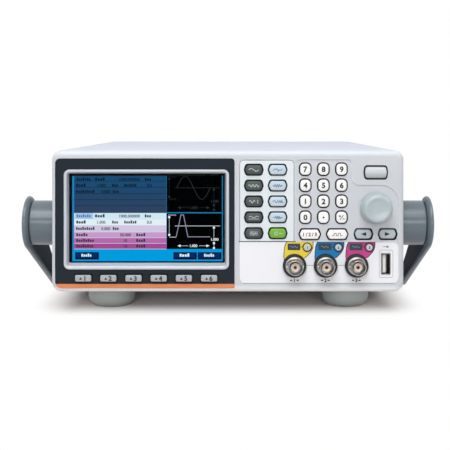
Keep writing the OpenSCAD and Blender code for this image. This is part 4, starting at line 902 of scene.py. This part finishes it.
cellX, cellZ = picture["width"] / picture["columns"], picture["height"] / picture["rows"]
pictureX, pictureZ = surroundX + picture["shift"][0] * mm, surroundZ + picture["shift"][1] * mm
screenKeys = list(screenColours)
screenMesh = bmesh.new()


def onScreen(points):
    return [((x - picture["columns"] / 2) * cellX, (picture["rows"] / 2 - y) * cellZ) for x, y in points]


def drawShape(shape, layer, key):
    y = frontY + (picture["depth"] - picture["step"] * layer) * mm
    addFlat(screenMesh, shape, pictureX, y, pictureZ, screenKeys.index(key))


def drawPane(x0, y0, x1, y1, layer, key):
    drawShape(fillShape(onScreen([(x0, y1), (x1, y1), (x1, y0), (x0, y0)])), layer, key)


def drawLine(points, layer, key, width):
    drawShape(ribbonShape(onScreen(points), width * cellX), layer, key)


# A row of plain marks of uneven height
def drawMarks(x0, x1, y, layer, key):
    count = max(int((x1 - x0) / marks["wide"]), 1)
    pitch, foot = (x1 - x0) / count, y + marks["foot"]
    for i in range(count):
        left, tall = x0 + pitch * i, marks["tall"][i % len(marks["tall"])]
        drawPane(left, foot - tall, left + pitch - marks["gap"], foot, layer, key)


def drawNumber(words, x, y, layer, key, height):
    spot = onScreen([(x, y)])[0]
    drawShape(movedShape(textShape(words, height * cellX, picture["weight"]), *spot), layer, key)


for pane in picture["panes"]:
    drawPane(*pane)
for x0, x1 in softPane["ends"]:
    (edgeTop, edgeFoot), (faceTop, faceFoot) = softPane["edge"], softPane["face"]
    drawPane(x0, edgeTop, x1, edgeFoot, 2, "softEdge")
    drawPane(x0 + softPane["inset"][0], faceTop, x1 - softPane["inset"][1], faceFoot, 3, "soft")
    drawMarks(x0 + softPane["marks"][0], x1 - softPane["marks"][1], softPane["middle"], 4, "softText")
for name, block in rowBlocks.items():
    spans = list(zip(block["edges"], block["edges"][1:]))
    left, right = picture["rowEnds"]
    for i, (y0, y1) in enumerate(spans):
        drawPane(left, y0, right, y1, 1, f"{name}{i}")
        drawLine([(left, y1), (right, y1)], 2, block["line"], block["width"])
    middle = [(y0 + y1) / 2 + block["drop"] for y0, y1 in spans[:block["filled"]]]
    drawMarks(*picture["firstMarks"], middle[0], 3, block["first"])
    for row, x0, x1 in picture["rowMarks"]:
        if row < block["filled"]:
            drawMarks(x0, x1, middle[row], 3, block["text"])
    for row, x, words in picture["rowNumbers"]:
        if row < block["filled"]:
            drawNumber(words, x, middle[row], 3, block["text"], picture["number"])
for top, key in graph["tops"]:
    for x0, y0, x1, y1, width in graph["lines"]:
        drawLine([(x0, top + y0), (x1, top + y1)], 2, key, width)
    for x, y in graph["dots"]:
        half = graph["dot"]
        drawPane(x - half, top + y - half, x + half, top + y + half, 3, key)
    for head in graph["heads"]:
        drawShape(fillShape(onScreen([(x, top + y) for x, y in head])), 3, key)
    for x0, y0, x1, y1 in graph["cleared"]:
        drawPane(x0, top + y0, x1, top + y1, 3, "black")
        drawNumber("1.000", (x0 + x1) / 2, top + (y0 + y1) / 2, 4, key, graph["number"])
sineX, sineY = graph["sineAt"]
sine = [(sineX + x, sineY + y) for x, y in wavePath(*graph["sine"])]
drawLine(sine, 4, "dim", graph["sineWidth"])
drawLine(graph["pulse"], 4, "wave", graph["pulseWidth"])
addObject("lcd_module.picture", screenMesh, ["screen." + key for key in screenKeys], "case",
          recalc=False)
print("picture made")

# Screw heads on the back, with cross recesses in black as painted shade
screwHead = {"profile": ((2.95, 0), (2.95, 1.25), (2.6, 1.8), (2.2, 2.33)), "crown": 2.45, "floor": 1.86,
             "taper": 0.8, "slot": 0.42, "arm": 1.7, "fan": 25, "cornerX": 101.75, "cornerZ": 35.75,
             "steps": 32, "sharp": 40}
fanX, fanZ = [jointAt["fan_spin"][axis] / mm for axis in (0, 2)]
panelMid = middleOf(*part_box("rear_panel"))[1] / mm
corners = [(sx, sz) for sx in (-1, 1) for sz in (-1, 1)]
places = [(sx * screwHead["cornerX"], panelMid + sz * screwHead["cornerZ"]) for sx, sz in corners]
places += [(fanX + sx * screwHead["fan"], fanZ + sz * screwHead["fan"]) for sx, sz in corners]
s, a = screwHead["slot"], screwHead["arm"]
cross = [(s, s), (s, a), (-s, a), (-s, s), (-a, s), (-a, -s), (-s, -s), (-s, -a), (s, -a), (s, -s), (a, -s),
         (a, s)]
bm = bmesh.new()
for x, z in [(x * mm, z * mm) for x, z in places]:
    rim = addRings(bm, latheRings(screwHead["profile"], (x, rearY, z), 1, screwHead["steps"]), 0,
                   capLast=False)
    recess = []
    for level, size in (("crown", 1), ("floor", screwHead["taper"])):
        outline = [(px * size, pz * size) for px, pz in cross]
        recess.append([bm.verts.new(p) for p in placed(outline, x, rearY + screwHead[level] * mm, z)])
    top, pit = recess
    for i in range(len(cross)):
        bm.faces.new((top[i - 1], top[i], pit[i], pit[i - 1])).material_index = 1
    bm.faces.new(pit).material_index = 1
    edges = [bm.edges.get((ring[i - 1], ring[i])) for ring in (rim, top) for i in range(len(ring))]
    bmesh.ops.triangle_fill(bm, edges=edges, use_beauty=True)
addObject("screws.rear_heads", bm, ["zinc", "black"], "case",
          sharp=screwHead["sharp"])
print("screw heads made")


# Rays to the camera, and those that mirrors and glass send out
def seenRays(tree):
    path = addNode(tree, "LightPath")
    mirrored = addNode(tree, "Math", {"operation": "MAXIMUM"},
                       {0: path.outputs["Is Glossy Ray"], 1: path.outputs["Is Transmission Ray"]})
    return path.outputs["Is Camera Ray"], mirrored


# Stage: a white paper floor, in metres, then soft studio light and the camera
floorLook = {"radius": 0.9, "steps": 96, "under": (0.099, 0.083, 0), "narrow": (1.5, 1, 1), "plain": 0.0,
             "gone": 0.05, "fibreMm": 6, "colours": ("#d8d4d1", "#dedad7"), "seen": "#dbd1cd", "rough": 0.5}
bm = bmesh.new()
bmesh.ops.create_circle(bm, cap_ends=True, segments=floorLook["steps"], radius=floorLook["radius"])
floorMesh = bpy.data.meshes.new("floor")
bm.to_mesh(floorMesh)
bm.free()
# Matt paper: soft shadow near the object, and pure white further out, where the sweep of paper would rise
floorMaterial, tree, shader, place = newMaterial("paper_white_matt", {})
tree.nodes.remove(shader)
paper = cloudyColour(tree, place, floorLook["fibreMm"], 2.0, floorLook["colours"])
toCamera, mirrored = seenRays(tree)
seen = addNode(tree, "Math", {"operation": "MAXIMUM"}, {0: toCamera, 1: mirrored})
shown = addNode(tree, "Mix", {"data_type": "RGBA", 7: linearColour(floorLook["seen"])}, {0: seen, 6: paper})
matt = addNode(tree, "BsdfDiffuse", {"Roughness": floorLook["rough"]}, {"Color": shown.outputs[2]})
away = addNode(tree, "VectorMath", {"operation": "ABSOLUTE"}, {0: place})
for operation, value in (("SUBTRACT", floorLook["under"]), ("MAXIMUM", (0, 0, 0)),
                         ("MULTIPLY", floorLook["narrow"])):
    away = addNode(tree, "VectorMath", {"operation": operation, 1: value}, {0: away})
away = addNode(tree, "VectorMath", {"operation": "LENGTH"}, {0: away})
rise = addNode(tree, "MapRange", {"interpolation_type": "SMOOTHSTEP", "From Min": floorLook["plain"],
                                  "From Max": floorLook["gone"]}, {"Value": away.outputs["Value"]})
fade = addNode(tree, "Math", {"operation": "MULTIPLY"}, {0: rise, 1: seen})
white = addNode(tree, "Emission", {"Strength": 1.0})
sweep = addNode(tree, "MixShader", links={0: fade, 1: matt, 2: white})
linkUp(tree, tree.nodes["Material Output"], {"Surface": sweep})
floorMesh.materials.append(floorMaterial)
floor = bpy.data.objects.new("floor", floorMesh)
scene.collection.objects.link(floor)

# White to the eye and in mirrors, dimmer on the side of the camera, and plain grey as light
studio = {"light": 0.17, "behindCamera": 0.3, "turn": (-0.8, 0.1)}
world = bpy.data.worlds.new("studio")
scene.world = world
world.use_nodes = True
sky = world.node_tree
toward = addNode(sky, "SeparateXYZ", links={0: addNode(sky, "TexCoord").outputs["Generated"]})
room = addNode(sky, "MapRange", {"From Min": studio["turn"][0], "From Max": studio["turn"][1],
                                 "To Min": studio["behindCamera"]}, {"Value": toward.outputs["Y"]})
toCamera, mirrored = seenRays(sky)
lit = addNode(sky, "Mix", {2: studio["light"]}, {0: mirrored, 3: room})
strength = addNode(sky, "Mix", {3: 1.0}, {0: toCamera, 2: lit})
background = sky.nodes["Background"]
background.inputs["Color"].default_value = linearColour("#ffffff")
linkUp(sky, background, {"Strength": strength})

lamps = {
    "key": {"at": (-0.08, -1.1, 1.15), "to": (0.0, -0.1, 0.05), "size": (0.9, 0.9), "power": 12.2},
    "top": {"at": (0.0, -0.6, 1.2), "to": (0.0, -0.1, 0.05), "size": (0.9, 0.5), "power": 2.8},
    "low": {"at": (0.0, -1.6, 0.3), "to": (0.0, -0.1, 0.05), "size": (0.9, 0.3), "power": 5.4},
    "left": {"at": (-1.3, -0.3, 0.95), "to": (0.0, 0.0, 0.05), "size": (0.9, 0.6), "power": 5},
    "right": {"at": (1.3, -0.3, 0.95), "to": (0.0, 0.0, 0.05), "size": (0.9, 0.6), "power": 5},
    "rear": {"at": (-0.25, 1.6, 0.45), "to": (0.0, 0.1, 0.05), "size": (1.0, 0.6), "power": 9,
             "mirrored": False},    # no glare skimming the cover towards the front
}
for name, look in lamps.items():
    light = bpy.data.lights.new(name, "AREA")
    light.shape = "RECTANGLE"
    light.size, light.size_y = look["size"]
    light.energy = look["power"]
    lamp = bpy.data.objects.new(name, light)
    lamp.location = look["at"]
    lamp.visible_glossy = look.get("mirrored", True)
    aim = Vector(look["to"]) - Vector(look["at"])
    lamp.rotation_euler = aim.to_track_quat("-Z", "Y").to_euler()
    scene.collection.objects.link(lamp)

view = {"x": 5.8, "before": 614, "aboveCase": 106.9, "sensor": 36, "lens": 78.64, "shift": (-0.0267, -0.231),
        "clip": (0.01, 100)}
cameraData = bpy.data.cameras.new("camera")
cameraData.sensor_width = view["sensor"]
cameraData.lens = view["lens"]
cameraData.shift_x, cameraData.shift_y = view["shift"]
cameraData.clip_start, cameraData.clip_end = view["clip"]
camera = bpy.data.objects.new("camera", cameraData)
camera.location = (view["x"] * mm, frontY - view["before"] * mm, (caseZ + view["aboveCase"]) * mm)
camera.rotation_euler = (math.radians(90), 0, 0)
scene.collection.objects.link(camera)
scene.camera = camera
scene.view_settings.view_transform = "Standard"
print("stage set")
